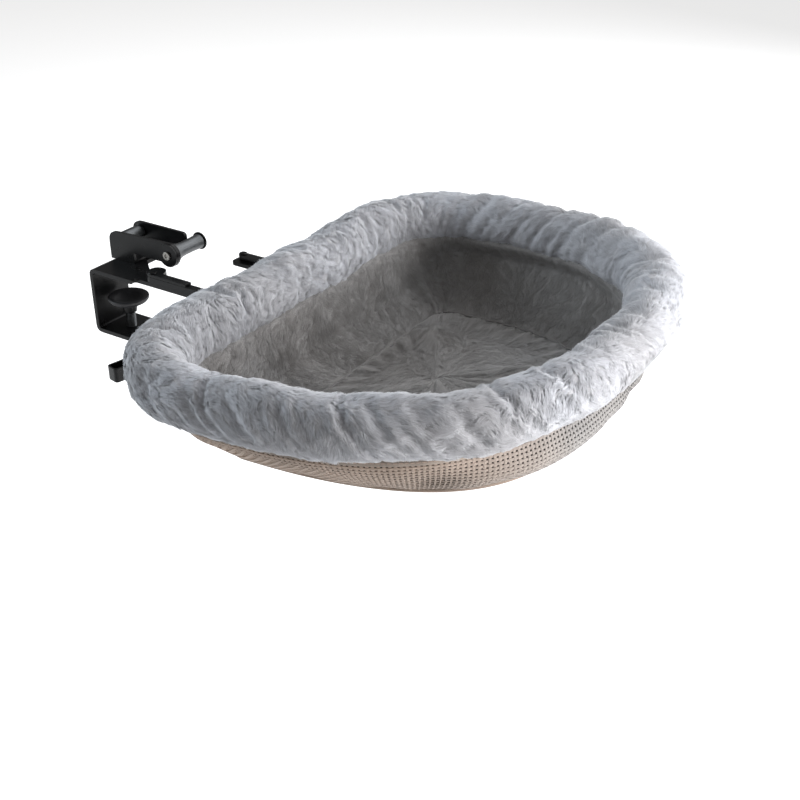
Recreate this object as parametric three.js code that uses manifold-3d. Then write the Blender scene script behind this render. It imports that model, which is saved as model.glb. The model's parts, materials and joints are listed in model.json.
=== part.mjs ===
// A padded pet bed that clamps to the edge of a board.
// Millimetres. +X runs along the board's edge, -Y points from the clamp to the bed, +Z is up.
// The origin lies on the underside of the grip liner, where the board's top touches it,
// on the clamp screw's line in Y and on the bed's middle plane in X.

import * as THREE from 'three';
import { mergeVertices } from 'three/addons/utils/BufferGeometryUtils.js';
import Module from 'manifold-3d';

// Clamp bracket: one bent steel sheet
const sheet = 4;
const linerThickness = 2;
const strapWidth = 45;
const screwX = -31.5;
const screwToBack = 26;
const throatHeight = 59;
const legDepth = 55;
const bendRadius = 7;
const cornerRadius = 5;
const footDepth = 34;
const tongueNearX = -48;
const tongueWidth = 14;
const tongueFillet = 6;
const linerMargin = 3;

// Yoke on the bracket, with its spool
const footFarX = 23;
const yokeWidth = 36;
const yokeMiddleX = -5;
const yokeSheet = 3;
const yokeBaseDepth = 31;
const yokeHeight = 29.2;
const yokeNoseRadius = 11.7;
const yokeArmRise = 11;
const yokeReach = 77.6;
const yokeFarReach = 69;
const yokeFarCorner = 4;
const yokeBossHeight = 2.2;
const yokeBossStep = 0.3;
const yokeCornerRadius = 11;
const rearTubeRadius = 6.5;
const rearTubeBack = 9.5;
const rearTubeRise = 19.4;
const spoolRise = 20;
const spoolLength = 37.5;
const spoolWaistRadius = 6.6;
const spoolNearRadius = 9.6;
const spoolFarRadius = 7.4;
const spoolNearDiscRadius = 11;
const spoolFarDiscRadius = 8.7;
const spoolDiscThickness = 1.6;
const spoolBoltRadius = 2.6;
const spoolHeadRadius = 4.1;
const spoolHeadHeight = 1.8;
const spoolNutRadius = 4.6;
const spoolNutHeight = 2.6;

// Bars that carry the bed
const barHeight = 5.6;
const barWidth = 8;
const barHeadRadius = 9.5;
const barHeadBack = 75;
const stripHeight = 2.9;
const stripEndBack = 119;
const tongueOverhang = 16;
const farBarBack = 104;
const crossbarBack = 138;
const crossbarWidth = 18;
const crossbarHalfLength = 52;
const crossbarSheet = 4;
const knuckleLength = 16;
const saddleDepth = 5;
const saddleAboveHinge = 3.5;
const gussetDrop = 4.2;
const gussetLength = 8;
const grubScrewRadius = 2.5;
const grubSocketRadius = 1.3;

// Hinge line and bed outline
const hoopBack = 201.87;
const hoopRise = 14.37;
const bedTiltDegrees = 3.7;
const hoopTubeRadius = 6;
const bedHalfWidth = 220;
const bedCornerRadius = 76.6;
const bedFrontDepth = 248.8;
const bedFrontPower = 2.61;
const rollRadius = 25.4;
const rollLumpShare = 0.03;
const rollBackShare = 0.17;
const rollCornerShare = 0.11;

// Basket under the rim
const meshThickness = 2;
const liningThickness = 8;
const bowlDepth = 88;
const bowlTopInset = 13;
const bowlTopBackInset = 21;
const bowlWaistSideInset = 5;
const bowlWaistFrontInset = 9;
const bowlWaistBackInset = 26;
const bowlSideInset = 27;
const bowlFrontInset = 3;
const bowlBackInset = 31;
const bowlTurnInset = 21;
const hemHeightShare = 0.5;
const hemThickness = 1.5;
const padThickness = 9;
const padCrownShare = 0.35;
const padSkirtShare = 0.4;
const padSideShares = [0.895, 0.85, 0.62, 0.3];
const padRiseShares = [0.76, 1, 1.2, 1.32];

// Clamp screw, its pad and its handle
const spindleRadius = 5;
const nutRadius = 9;
const nutHeight = 6;
const padDiscRadius = 20;
const padDiscHeight = 8;
const padDiscWall = 2.6;
const padRimWidth = 2.4;
const padGap = 25;
const socketRadius = 8;
const socketNeckRadius = 6.6;
const socketDepth = 6;
const handleLength = 60;
const handleWidth = 15;
const handleHeight = 15;
const handleWall = 2;
const handleDrop = 33;
const handleTurnDegrees = -12;
const capNutRadius = 8;
const capNutHeight = 7;

// Rivets
const rivetRadius = 2.5;
const rivetHeadRadius = 4.2;
const rivetHeadHeight = 1.6;

// Clearances and counts
const seatGap = 0.1;
const fitGap = 0.3;
const swingGap = 1.2;
const rimGap = 0.9;
const cutOverrun = 1;
const arcSteps = 5;
const roundSides = 24;
const smallSides = 14;
const hexSides = 6;
const padSides = 32;
const channelSides = 8;
const outlineFrontSteps = 30;
const outlineCornerSteps = 6;
const outlineStraightSteps = 12;
const rollSides = 14;
const tubeSides = 10;
const notchStartDegrees = -8;
const notchEndDegrees = -126;
const foldDegrees = 90;
const foldGapDegrees = 3;

// Places that follow from those sizes
const backY = screwToBack;
const plateUnder = linerThickness;
const plateTop = plateUnder + sheet;
const legTop = plateUnder - throatHeight;
const legUnder = legTop - sheet;
const strapNearX = screwX - strapWidth / 2;
const yokeHalf = yokeWidth / 2;
const hoopY = backY - hoopBack;
const hoopZ = plateTop + hoopRise;
const barTop = plateTop + seatGap + barHeight;
const stripTop = barTop + seatGap + stripHeight;
const knuckleRadius = hoopZ - barTop;
const knuckleBore = hoopTubeRadius + fitGap;
const barCentreX = tongueNearX + barWidth / 2;
const tongueEndBack = crossbarBack + crossbarWidth + tongueOverhang;
const farHeadRadius = barWidth / 2 + seatGap;
const spoolZ = plateTop + spoolRise;
const spoolY = backY - yokeReach;
const spoolStart = -yokeHalf + yokeSheet + spoolDiscThickness + 2 * fitGap;
const spoolEnd = spoolStart + spoolLength + spoolDiscThickness + 2 * fitGap;
const padTop = -padGap;
const nutUnder = legUnder - nutHeight;
const handleTop = nutUnder - handleDrop + nutHeight;
const liningPush = meshThickness + fitGap;
const channelRadius = (hoopTubeRadius + 2 * fitGap) / Math.cos(Math.PI / channelSides);

const xAxis = new THREE.Vector3(1, 0, 0);
const yAxis = new THREE.Vector3(0, 1, 0);
const zAxis = new THREE.Vector3(0, 0, 1);

const finishes = {
  blackSteel: { color: 0x1d1b1a, roughness: 0.45, metalness: 0.6 },
  satinSteel: { color: 0x55585c, roughness: 0.32, metalness: 0.85 },
  brightSteel: { color: 0xb9b4aa, roughness: 0.3, metalness: 0.9 },
  blackRubber: { color: 0x15161a, roughness: 0.7, metalness: 0 },
  plush: { color: 0xb4bac2, roughness: 0.95, metalness: 0 },
  plushInside: { color: 0x8d9096, roughness: 0.95, metalness: 0 },
  net: { color: 0xb9b0a6, roughness: 0.85, metalness: 0 },
  tape: { color: 0x9a9da3, roughness: 0.9, metalness: 0 },
};

const wasm = await Module();
wasm.setup();

// A closed geometry as a solid that can be cut and joined
function solidOf(geometry) {
  const bare = geometry.clone();
  bare.deleteAttribute('normal');
  bare.deleteAttribute('uv');
  const merged = mergeVertices(bare);
  return new wasm.Manifold(
    new wasm.Mesh({
      numProp: 3,
      vertProperties: new Float32Array(merged.attributes.position.array),
      triVerts: new Uint32Array(merged.index.array),
    }),
  );
}

function geometryOf(solid) {
  const mesh = solid.getMesh();
  const geometry = new THREE.BufferGeometry();
  geometry.setAttribute('position', new THREE.BufferAttribute(new Float32Array(mesh.vertProperties), 3));
  geometry.setIndex(new THREE.BufferAttribute(new Uint32Array(mesh.triVerts), 1));
  return geometry;
}

function cut(body, ...tools) {
  return tools.reduce((rest, tool) => rest.subtract(solidOf(tool)), solidOf(body));
}

function join(...geometries) {
  return geometries.map(solidOf).reduce((whole, part) => whole.add(part));
}

// A closed outline whose corners are rounded; each corner is [across, up, radius]
function roundedShape(corners) {
  const shape = new THREE.Shape();
  const count = corners.length;
  corners.forEach(([x, y, radius], i) => {
    const here = new THREE.Vector2(x, y);
    const before = new THREE.Vector2(...corners[(i + count - 1) % count]).sub(here).setLength(radius || 0);
    const after = new THREE.Vector2(...corners[(i + 1) % count]).sub(here).setLength(radius || 0);
    const start = here.clone().add(before);
    if (i === 0) shape.moveTo(start.x, start.y);
    else shape.lineTo(start.x, start.y);
    if (radius) shape.quadraticCurveTo(here.x, here.y, here.x + after.x, here.y + after.y);
  });
  shape.closePath();
  return shape;
}

// An outline drawn in (Y, Z), drawn out along +X from x
function extrudeAlongX(shape, x, length) {
  const geometry = new THREE.ExtrudeGeometry(shape, {
    depth: length,
    bevelEnabled: false,
    curveSegments: arcSteps,
  });
  geometry.applyMatrix4(new THREE.Matrix4().makeBasis(yAxis, zAxis, xAxis));
  return geometry.translate(x, 0, 0);
}

// An outline drawn in (X, Y), drawn out along +Z from z
function extrudeUp(shape, z, height) {
  const geometry = new THREE.ExtrudeGeometry(shape, {
    depth: height,
    bevelEnabled: false,
    curveSegments: arcSteps,
  });
  return geometry.translate(0, 0, z);
}

function block(x0, x1, y0, y1, z0, z1) {
  return new THREE.BoxGeometry(x1 - x0, y1 - y0, z1 - z0)
    .translate((x0 + x1) / 2, (y0 + y1) / 2, (z0 + z1) / 2);
}

function rodAlongX(radius, x0, x1, y, z, sides = roundSides) {
  return new THREE.CylinderGeometry(radius, radius, x1 - x0, sides)
    .rotateZ(Math.PI / 2)
    .translate((x0 + x1) / 2, y, z);
}

function rodUp(radius, x, y, z0, z1, sides = roundSides) {
  return new THREE.CylinderGeometry(radius, radius, z1 - z0, sides)
    .rotateX(Math.PI / 2)
    .translate(x, y, (z0 + z1) / 2);
}

// A turned piece: its profile is [radius, height] from the axis and back to it, upwards along +Z
function turned(profile, sides = roundSides) {
  return new THREE.LatheGeometry(profile.map(([r, z]) => new THREE.Vector2(r, z)), sides)
    .rotateX(Math.PI / 2);
}

// A skin through rings of equal length, ended by poles, or closed on itself without them.
// From turnRow on, its quads are split the other way, so that the two faces of a bowl's layer
// are split alike and nest in the next layer.
function loft(rings, firstPole, lastPole, turnRow = rings.length) {
  const columns = rings[0].length;
  const points = rings.flat();
  const faces = [];
  const strips = firstPole ? rings.length - 1 : rings.length;
  for (let row = 0; row < strips; row += 1) {
    const low = row * columns;
    const high = ((row + 1) % rings.length) * columns;
    for (let i = 0; i < columns; i += 1) {
      const j = (i + 1) % columns;
      if (row < turnRow) faces.push(low + i, low + j, high + j, low + i, high + j, high + i);
      else faces.push(low + i, low + j, high + i, low + j, high + j, high + i);
    }
  }
  if (firstPole) {
    const first = points.push(firstPole) - 1;
    const last = points.push(lastPole) - 1;
    const end = (rings.length - 1) * columns;
    for (let i = 0; i < columns; i += 1) {
      const j = (i + 1) % columns;
      faces.push(first, j, i, last, end + i, end + j);
    }
  }
  const geometry = new THREE.BufferGeometry().setFromPoints(points);
  geometry.setIndex(faces);
  return geometry;
}

// The hoop's centre line, anticlockwise from above: {x, y, nx, ny} with its outward normal.
// A straight side lies on the hinge line, two round corners follow, then a superellipse front.
function bedOutline() {
  const points = [];
  const power = 2 / bedFrontPower;
  const shoulder = -bedCornerRadius;
  for (let i = 0; i <= outlineFrontSteps; i += 1) {
    const turn = Math.PI + (Math.PI * i) / outlineFrontSteps;
    const c = Math.cos(turn);
    const s = Math.sin(turn);
    points.push([
      bedHalfWidth * Math.sign(c) * Math.abs(c) ** power,
      shoulder - bedFrontDepth * Math.abs(s) ** power,
    ]);
  }
  const straightHalf = bedHalfWidth - bedCornerRadius;
  for (let i = 1; i <= outlineCornerSteps; i += 1) {
    const turn = (Math.PI / 2) * (i / outlineCornerSteps);
    points.push([
      straightHalf + bedCornerRadius * Math.cos(turn),
      shoulder + bedCornerRadius * Math.sin(turn),
    ]);
  }
  for (let i = 1; i < outlineStraightSteps; i += 1) {
    points.push([straightHalf * (1 - (2 * i) / outlineStraightSteps), 0]);
  }
  for (let i = 0; i < outlineCornerSteps; i += 1) {
    const turn = (Math.PI / 2) * (1 + i / outlineCornerSteps);
    points.push([
      -straightHalf + bedCornerRadius * Math.cos(turn),
      shoulder + bedCornerRadius * Math.sin(turn),
    ]);
  }
  return points.map(([x, y], i) => {
    const next = points[(i + 1) % points.length];
    const last = points[(i + points.length - 1) % points.length];
    const along = new THREE.Vector2(next[0] - last[0], next[1] - last[1]).normalize();
    return { x, y, nx: along.y, ny: -along.x };
  });
}

const outline = bedOutline();

// A closed tube round the hoop line; radiusAt gives its radius at each outline point
function hoopTube(sides, radiusAt) {
  const rings = [];
  for (let k = 0; k < sides; k += 1) {
    const turn = (2 * Math.PI * k) / sides;
    rings.push(outline.map((p, i) => {
      const out = radiusAt(i) * Math.cos(turn);
      return new THREE.Vector3(p.x + p.nx * out, p.y + p.ny * out, radiusAt(i) * Math.sin(turn));
    }));
  }
  return loft(rings);
}

// A value for each direction round the bed: side, front and back, blended by the normal
function byDirection(p, side, front, back) {
  return side * p.nx * p.nx + (p.ny < 0 ? front : back) * p.ny * p.ny;
}

// The roll's radius without its lumps: fuller along the straight side and at the far front corner
function rollRadiusAt(p) {
  const back = p.ny > 0 ? p.ny * p.ny : 0;
  const corner = p.nx > 0 && p.ny < 0 ? (2 * p.nx * p.ny) ** 2 : 0;
  return rollRadius * (1 + rollBackShare * back + rollCornerShare * corner);
}

// The basket's wall, pushed in by a thickness: rings from the rim down, then shrinking floor rings
function basketRings(push) {
  const wallDepthShares = [0.42, 0.69, 0.88];
  const floorShrinkShares = [0.8, 0.5];
  const floorDepthShares = [0.965, 1];
  const insets = [
    [bowlWaistSideInset, bowlWaistFrontInset, bowlWaistBackInset],
    [bowlSideInset, bowlFrontInset, bowlBackInset],
    [bowlSideInset + bowlTurnInset, bowlFrontInset + bowlTurnInset, bowlBackInset + bowlTurnInset],
  ];
  const depth = bowlDepth - push;
  const ringAt = (insetOf, depthOf) => outline.map((p) => {
    const inset = insetOf(p) + push;
    return new THREE.Vector3(p.x - p.nx * inset, p.y - p.ny * inset, -depthOf(p));
  });
  const topInset = (p) => byDirection(p, bowlTopInset, bowlTopInset, bowlTopBackInset);
  const topDepth = (p) => {
    const inset = topInset(p) + push;
    const reach = rollRadiusAt(p) * (1 + rollLumpShare) + rimGap;
    return inset < reach ? Math.sqrt(reach * reach - inset * inset) : 0;
  };
  const rings = [ringAt(topInset, topDepth)];
  insets.forEach(([side, front, back], i) => {
    rings.push(ringAt((p) => byDirection(p, side, front, back), () => depth * wallDepthShares[i]));
  });
  const wallEnd = rings[rings.length - 1];
  const middle = wallEnd.reduce((sum, v) => sum.add(v), new THREE.Vector3()).divideScalar(wallEnd.length);
  floorShrinkShares.forEach((share, i) => {
    rings.push(wallEnd.map((v) => new THREE.Vector3(
      middle.x + (v.x - middle.x) * share,
      middle.y + (v.y - middle.y) * share,
      -depth * floorDepthShares[i],
    )));
  });
  return { rings, pole: new THREE.Vector3(middle.x, middle.y, -depth) };
}

// A bowl-shaped layer between two pushes; its top edge is bent along the roll by a middle ring
function basketLayer(outerPush, innerPush) {
  const outer = basketRings(outerPush);
  const inner = basketRings(innerPush);
  const edge = basketRings((outerPush + innerPush) / 2).rings[0];
  const rings = [...outer.rings.slice().reverse(), edge, ...inner.rings];
  return loft(rings, outer.pole, inner.pole, outer.rings.length);
}

const model = new THREE.Group();
const bed = new THREE.Group();
bed.position.set(0, hoopY, hoopZ);
bed.rotation.x = -THREE.MathUtils.degToRad(bedTiltDegrees);
model.add(bed);

function addPiece(parent, name, shape, finish) {
  const geometry = shape.getMesh ? geometryOf(shape) : shape;
  const mesh = new THREE.Mesh(geometry, new THREE.MeshStandardMaterial(finishes[finish]));
  mesh.name = name;
  parent.add(mesh);
  return mesh;
}

// Bracket

function rivetHole(x, y, z0, z1) {
  return rodUp(rivetRadius + fitGap, x, y, z0, z1, smallSides);
}

// A rivet with a low head on top and a shank that ends flush below
function rivet(x, y, under, top) {
  const head = [
    [0, under],
    [rivetRadius, under],
    [rivetRadius, top + seatGap],
    [rivetHeadRadius, top + seatGap],
    [rivetHeadRadius, top + seatGap + rivetHeadHeight / 2],
    [rivetRadius, top + seatGap + rivetHeadHeight],
    [0, top + seatGap + rivetHeadHeight],
  ];
  return turned(head, smallSides).translate(x, y, 0);
}

const yokeRivetDepthShare = 0.62;
const yokeRivetPlaces = [-1, 1].map((side) => [
  yokeMiddleX + (side * yokeHalf) / 2,
  backY - yokeBaseDepth * yokeRivetDepthShare,
]);
const nearRivetYs = [backY - barHeadBack, backY - (crossbarBack + crossbarWidth / 2)];
const farRivetYs = [backY - (farBarBack + barWidth), backY - (crossbarBack + crossbarWidth / 2)];

function clampBracket() {
  const front = backY - legDepth;
  const inner = bendRadius - sheet;
  const strapProfile = roundedShape([
    [front, plateTop],
    [front, plateUnder],
    [backY - sheet, plateUnder, inner],
    [backY - sheet, legTop, inner],
    [front, legTop],
    [front, legUnder],
    [backY, legUnder, bendRadius],
    [backY, plateTop, bendRadius],
  ]);
  const strap = extrudeAlongX(strapProfile, strapNearX, strapWidth);
  const strapFarX = strapNearX + strapWidth;
  const foot = block(
    strapFarX - cutOverrun, footFarX, backY - footDepth, backY - sheet, plateUnder, plateTop,
  );
  const tongueFarX = tongueNearX + tongueWidth;
  const tongue = extrudeUp(roundedShape([
    [tongueNearX - tongueFillet, front + cutOverrun],
    [tongueNearX, front, tongueFillet / 2],
    [tongueNearX, backY - tongueEndBack],
    [tongueFarX, backY - tongueEndBack],
    [tongueFarX, front, tongueFillet / 2],
    [tongueFarX + tongueFillet, front + cutOverrun],
  ]), plateUnder, sheet);
  const frontCorner = extrudeUp(roundedShape([
    [tongueNearX + tongueWidth + tongueFillet, front - cutOverrun],
    [strapFarX + cutOverrun, front - cutOverrun],
    [strapFarX + cutOverrun, backY - footDepth],
    [strapFarX, backY - footDepth],
  ]), plateUnder - cutOverrun, sheet + 2 * cutOverrun);
  const nutHole = rodUp(spindleRadius + fitGap, screwX, 0, legUnder - cutOverrun, legTop + cutOverrun);
  const rivetPlaces = [...yokeRivetPlaces, ...nearRivetYs.map((y) => [barCentreX, y])];
  const holes = rivetPlaces.map(([x, y]) => rivetHole(x, y, plateUnder - cutOverrun, plateTop + cutOverrun));
  const whole = join(strap, foot, tongue);
  return [frontCorner, nutHole, ...holes].reduce((rest, tool) => rest.subtract(solidOf(tool)), whole);
}

function gripLiner() {
  const nearX = strapNearX + linerMargin;
  const farX = footFarX - linerMargin;
  const frontY = backY - footDepth + linerMargin;
  const backEdge = backY - bendRadius - linerMargin;
  return extrudeUp(roundedShape([
    [nearX, frontY, linerMargin],
    [farX, frontY, linerMargin],
    [farX, backEdge, linerMargin],
    [nearX, backEdge, linerMargin],
  ]), 0, linerThickness - seatGap);
}

function weldNut() {
  const nut = rodUp(nutRadius, screwX, 0, nutUnder, legUnder - seatGap, hexSides);
  return cut(nut, rodUp(spindleRadius + fitGap, screwX, 0, nutUnder - cutOverrun, legUnder + cutOverrun));
}

addPiece(model, 'clamp_bracket', clampBracket(), 'blackSteel');
addPiece(model, 'grip_liner', gripLiner(), 'blackRubber');
addPiece(model, 'clamp_nut', weldNut(), 'satinSteel');

// Yoke

// The yoke is made about its own middle: the near cheek is long and round-ended,
// and the far one ends just before the spool

function yokeCheek(x, long) {
  const base = plateTop + seatGap;
  const top = plateTop + yokeHeight;
  const under = plateTop + yokeArmRise;
  const armEnd = backY - yokeBaseDepth;
  const farEnd = backY - yokeFarReach;
  const shape = new THREE.Shape();
  shape.moveTo(backY, base);
  shape.lineTo(backY, top - yokeCornerRadius);
  shape.quadraticCurveTo(backY, top, backY - yokeCornerRadius, top);
  if (long) {
    const turn = Math.asin((spoolZ - under) / yokeNoseRadius);
    shape.lineTo(spoolY, spoolZ + yokeNoseRadius);
    shape.absarc(spoolY, spoolZ, yokeNoseRadius, Math.PI / 2, Math.PI + turn, false);
  } else {
    shape.lineTo(farEnd + yokeFarCorner, top);
    shape.quadraticCurveTo(farEnd, top, farEnd, top - yokeFarCorner);
    shape.lineTo(farEnd, under + yokeFarCorner);
    shape.quadraticCurveTo(farEnd, under, farEnd + yokeFarCorner, under);
  }
  shape.lineTo(armEnd, under);
  shape.lineTo(armEnd, base);
  shape.closePath();
  return extrudeAlongX(shape, x, yokeSheet);
}

function yokeBracket() {
  const base = block(
    -yokeHalf, yokeHalf,
    backY - yokeBaseDepth, backY,
    plateTop + seatGap, plateTop + seatGap + yokeSheet,
  );
  const boss = rodAlongX(
    yokeNoseRadius - yokeBossStep, -yokeHalf - yokeBossHeight, -yokeHalf + cutOverrun, spoolY, spoolZ,
  );
  const whole = join(yokeCheek(-yokeHalf, true), yokeCheek(yokeHalf - yokeSheet, false), base, boss);
  const rearHole = rodAlongX(
    rearTubeRadius + fitGap, yokeHalf - yokeSheet - cutOverrun, yokeHalf + cutOverrun,
    backY - rearTubeBack, plateTop + rearTubeRise,
  );
  const boltHole = rodAlongX(
    spoolBoltRadius + fitGap, -yokeHalf - yokeBossHeight - cutOverrun, -yokeHalf + yokeSheet + cutOverrun,
    spoolY, spoolZ, smallSides,
  );
  const holes = yokeRivetPlaces.map(([x, y]) => rivetHole(
    x - yokeMiddleX, y, plateTop, plateTop + yokeSheet + cutOverrun,
  ));
  return [rearHole, boltHole, ...holes].reduce((rest, tool) => rest.subtract(solidOf(tool)), whole);
}

function rearTube() {
  const y = backY - rearTubeBack;
  const z = plateTop + rearTubeRise;
  const nearX = -yokeHalf + yokeSheet + seatGap;
  const boreRadius = rearTubeRadius - yokeSheet / 2;
  return cut(
    rodAlongX(rearTubeRadius, nearX, yokeHalf, y, z),
    rodAlongX(boreRadius, nearX + yokeSheet, yokeHalf + cutOverrun, y, z),
  );
}

// The spool runs from the near disc to the far one, flares at both ends and has a bore for its bolt
function spool() {
  const bore = spoolBoltRadius + fitGap;
  const profile = [0, 0.05, 0.1, 0.17, 0.25, 0.4, 0.6, 0.75, 0.9, 1].map((share) => {
    const nearFlare = (spoolNearRadius - spoolWaistRadius) * Math.max(0, 1 - share / 0.4) ** 2;
    const farFlare = (spoolFarRadius - spoolWaistRadius) * Math.max(0, (share - 0.6) / 0.4) ** 2;
    return [spoolWaistRadius + nearFlare + farFlare, spoolLength * share];
  });
  const closed = [[bore, 0], ...profile, [bore, spoolLength], [bore, 0]];
  return turned(closed).rotateY(Math.PI / 2).translate(spoolStart, spoolY, spoolZ);
}

function spoolDisc(inner, radius) {
  const outer = inner + spoolDiscThickness;
  return cut(rodAlongX(radius, inner, outer, spoolY, spoolZ), rodAlongX(
    spoolBoltRadius + fitGap, inner - cutOverrun, outer + cutOverrun, spoolY, spoolZ, smallSides,
  ));
}

function spoolBolt() {
  const head = -yokeHalf - yokeBossHeight - seatGap;
  const rod = rodAlongX(
    spoolBoltRadius, head - cutOverrun, spoolEnd + spoolNutHeight, spoolY, spoolZ, smallSides,
  );
  const cap = rodAlongX(spoolHeadRadius, head - spoolHeadHeight, head, spoolY, spoolZ);
  const socket = rodAlongX(
    spoolHeadRadius / 2, head - spoolHeadHeight - cutOverrun, head - spoolHeadHeight / 2,
    spoolY, spoolZ, hexSides,
  );
  return join(rod, cap).subtract(solidOf(socket));
}

function spoolNut() {
  const nut = rodAlongX(
    spoolNutRadius, spoolEnd + seatGap, spoolEnd + spoolNutHeight, spoolY, spoolZ, hexSides,
  );
  return cut(nut, rodAlongX(
    spoolBoltRadius + fitGap, spoolEnd - cutOverrun, spoolEnd + spoolNutHeight + cutOverrun,
    spoolY, spoolZ, smallSides,
  ));
}

const yoke = new THREE.Group();
yoke.position.x = yokeMiddleX;
model.add(yoke);
addPiece(yoke, 'yoke_bracket', yokeBracket(), 'blackSteel');
addPiece(yoke, 'yoke_rear_tube', rearTube(), 'satinSteel');
addPiece(yoke, 'yoke_spool', spool(), 'satinSteel');
addPiece(
  yoke, 'spool_disc_near', spoolDisc(-yokeHalf + yokeSheet + fitGap, spoolNearDiscRadius), 'blackSteel',
);
addPiece(
  yoke, 'spool_disc_far', spoolDisc(spoolStart + spoolLength + fitGap, spoolFarDiscRadius), 'blackSteel',
);
addPiece(yoke, 'spool_bolt', spoolBolt(), 'brightSteel');
addPiece(yoke, 'spool_nut', spoolNut(), 'brightSteel');
yokeRivetPlaces.forEach(([x, y], i) => {
  const base = plateTop + seatGap + yokeSheet;
  addPiece(model, `yoke_rivet_${i + 1}`, rivet(x, y, plateUnder + seatGap, base), 'blackSteel');
});

// Carrying bars; side is -1 for the near bar and 1 for the far one

function sideX(x, side) {
  return side < 0 ? x : -x;
}

function knuckle(side) {
  const centre = sideX(barCentreX, side);
  const half = knuckleLength / 2;
  const sleeve = rodAlongX(knuckleRadius, centre - half, centre + half, hoopY, hoopZ);
  const saddle = block(
    centre - barWidth / 2, centre + barWidth / 2,
    hoopY, hoopY + knuckleRadius + saddleDepth,
    barTop - barHeight / 2, hoopZ + saddleAboveHinge,
  );
  const tail = hoopY + knuckleRadius + saddleDepth;
  const gusset = new THREE.Shape([
    new THREE.Vector2(hoopY + knuckleRadius, barTop - barHeight / 2),
    new THREE.Vector2(tail + gussetLength, barTop - barHeight / 2),
    new THREE.Vector2(tail + gussetLength, barTop),
    new THREE.Vector2(tail, hoopZ - gussetDrop),
    new THREE.Vector2(hoopY + knuckleRadius, hoopZ - gussetDrop),
  ]);
  return [sleeve, saddle, extrudeAlongX(gusset, centre - barWidth / 2, barWidth)];
}

// What is cut from the bar's end under the hinge, so that the roll clears it when the bed is folded
function barEndCut(x) {
  const slope = THREE.MathUtils.degToRad(bedTiltDegrees - foldDegrees - notchEndDegrees - foldGapDegrees);
  const low = knuckleRadius + barHeight + cutOverrun;
  const profile = new THREE.Shape([
    new THREE.Vector2(hoopY - knuckleRadius, hoopZ - low),
    new THREE.Vector2(hoopY + low / Math.tan(slope), hoopZ - low),
    new THREE.Vector2(hoopY + knuckleRadius / Math.tan(slope), barTop),
    new THREE.Vector2(hoopY - knuckleRadius, barTop),
  ]);
  return extrudeAlongX(profile, x - barWidth, 2 * barWidth);
}

// A rod along Y, from y0 to the larger y1, on the hinge line's height
function rodAlongY(radius, x, y0, y1, sides = smallSides) {
  return new THREE.CylinderGeometry(radius, radius, y1 - y0, sides).translate(x, (y0 + y1) / 2, hoopZ);
}

// The screw in the saddle that presses on the hoop and sets how stiffly the bed folds
function frictionScrew(side) {
  const x = sideX(barCentreX, side);
  const tip = hoopY + hoopTubeRadius + fitGap;
  const tail = hoopY + knuckleRadius + saddleDepth;
  return cut(
    rodAlongY(grubScrewRadius, x, tip, tail),
    rodAlongY(grubSocketRadius, x, (tip + tail) / 2, tail + cutOverrun, hexSides),
  );
}

function barOutline(side, startBack, headRadius, endY) {
  const near = sideX(tongueNearX, side);
  const far = sideX(tongueNearX + barWidth, side);
  const headFar = sideX(tongueNearX + 2 * headRadius, side);
  const startY = backY - startBack;
  return roundedShape([
    [near, endY],
    [near, startY + headRadius, headRadius],
    [headFar, startY + headRadius, headRadius],
    [headFar, startY - headRadius / 2, headRadius / 2],
    [far, startY - headRadius, headRadius / 4],
    [far, endY],
  ]);
}

function upperBar(side, startBack, headRadius, rivetYs) {
  const x = sideX(barCentreX, side);
  const z = plateTop + seatGap;
  const bar = extrudeUp(barOutline(side, startBack, headRadius, hoopY), z, barHeight);
  const bore = rodAlongX(knuckleBore, x - knuckleLength, x + knuckleLength, hoopY, hoopZ);
  const screwHoleEnd = hoopY + knuckleRadius + saddleDepth + cutOverrun;
  const screwHole = rodAlongY(grubScrewRadius + seatGap, x, hoopY, screwHoleEnd);
  const holes = rivetYs.map((y) => rivetHole(x, y, z - cutOverrun, z + barHeight + cutOverrun));
  return [barEndCut(x), bore, screwHole, ...holes].reduce(
    (rest, tool) => rest.subtract(solidOf(tool)),
    join(bar, ...knuckle(side)),
  );
}

function topStrip() {
  const z = barTop + seatGap;
  const strip = extrudeUp(barOutline(-1, barHeadBack, barHeadRadius, backY - stripEndBack), z, stripHeight);
  return cut(strip, rivetHole(barCentreX, nearRivetYs[0], z - cutOverrun, z + stripHeight + cutOverrun));
}

function farLowerBar() {
  const nearX = -tongueNearX - tongueWidth;
  const startY = backY - farBarBack;
  const bar = extrudeUp(roundedShape([
    [nearX, backY - tongueEndBack],
    [-tongueNearX, backY - tongueEndBack],
    [-tongueNearX, startY, tongueWidth / 3],
    [nearX, startY, tongueWidth / 3],
  ]), plateUnder, sheet);
  const holes = farRivetYs.map((y) => (
    rivetHole(-barCentreX, y, plateUnder - cutOverrun, plateTop + cutOverrun)
  ));
  return cut(bar, ...holes);
}

function crossbar() {
  const frontY = backY - crossbarBack - crossbarWidth;
  const top = plateUnder - seatGap;
  const bar = extrudeUp(roundedShape([
    [-crossbarHalfLength, frontY, cornerRadius],
    [crossbarHalfLength, frontY, cornerRadius],
    [crossbarHalfLength, backY - crossbarBack, cornerRadius],
    [-crossbarHalfLength, backY - crossbarBack, cornerRadius],
  ]), top - crossbarSheet, crossbarSheet);
  return cut(bar, ...[-1, 1].map((side) => rivetHole(
    sideX(barCentreX, side), nearRivetYs[1], top - crossbarSheet - cutOverrun, top + cutOverrun,
  )));
}

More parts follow.
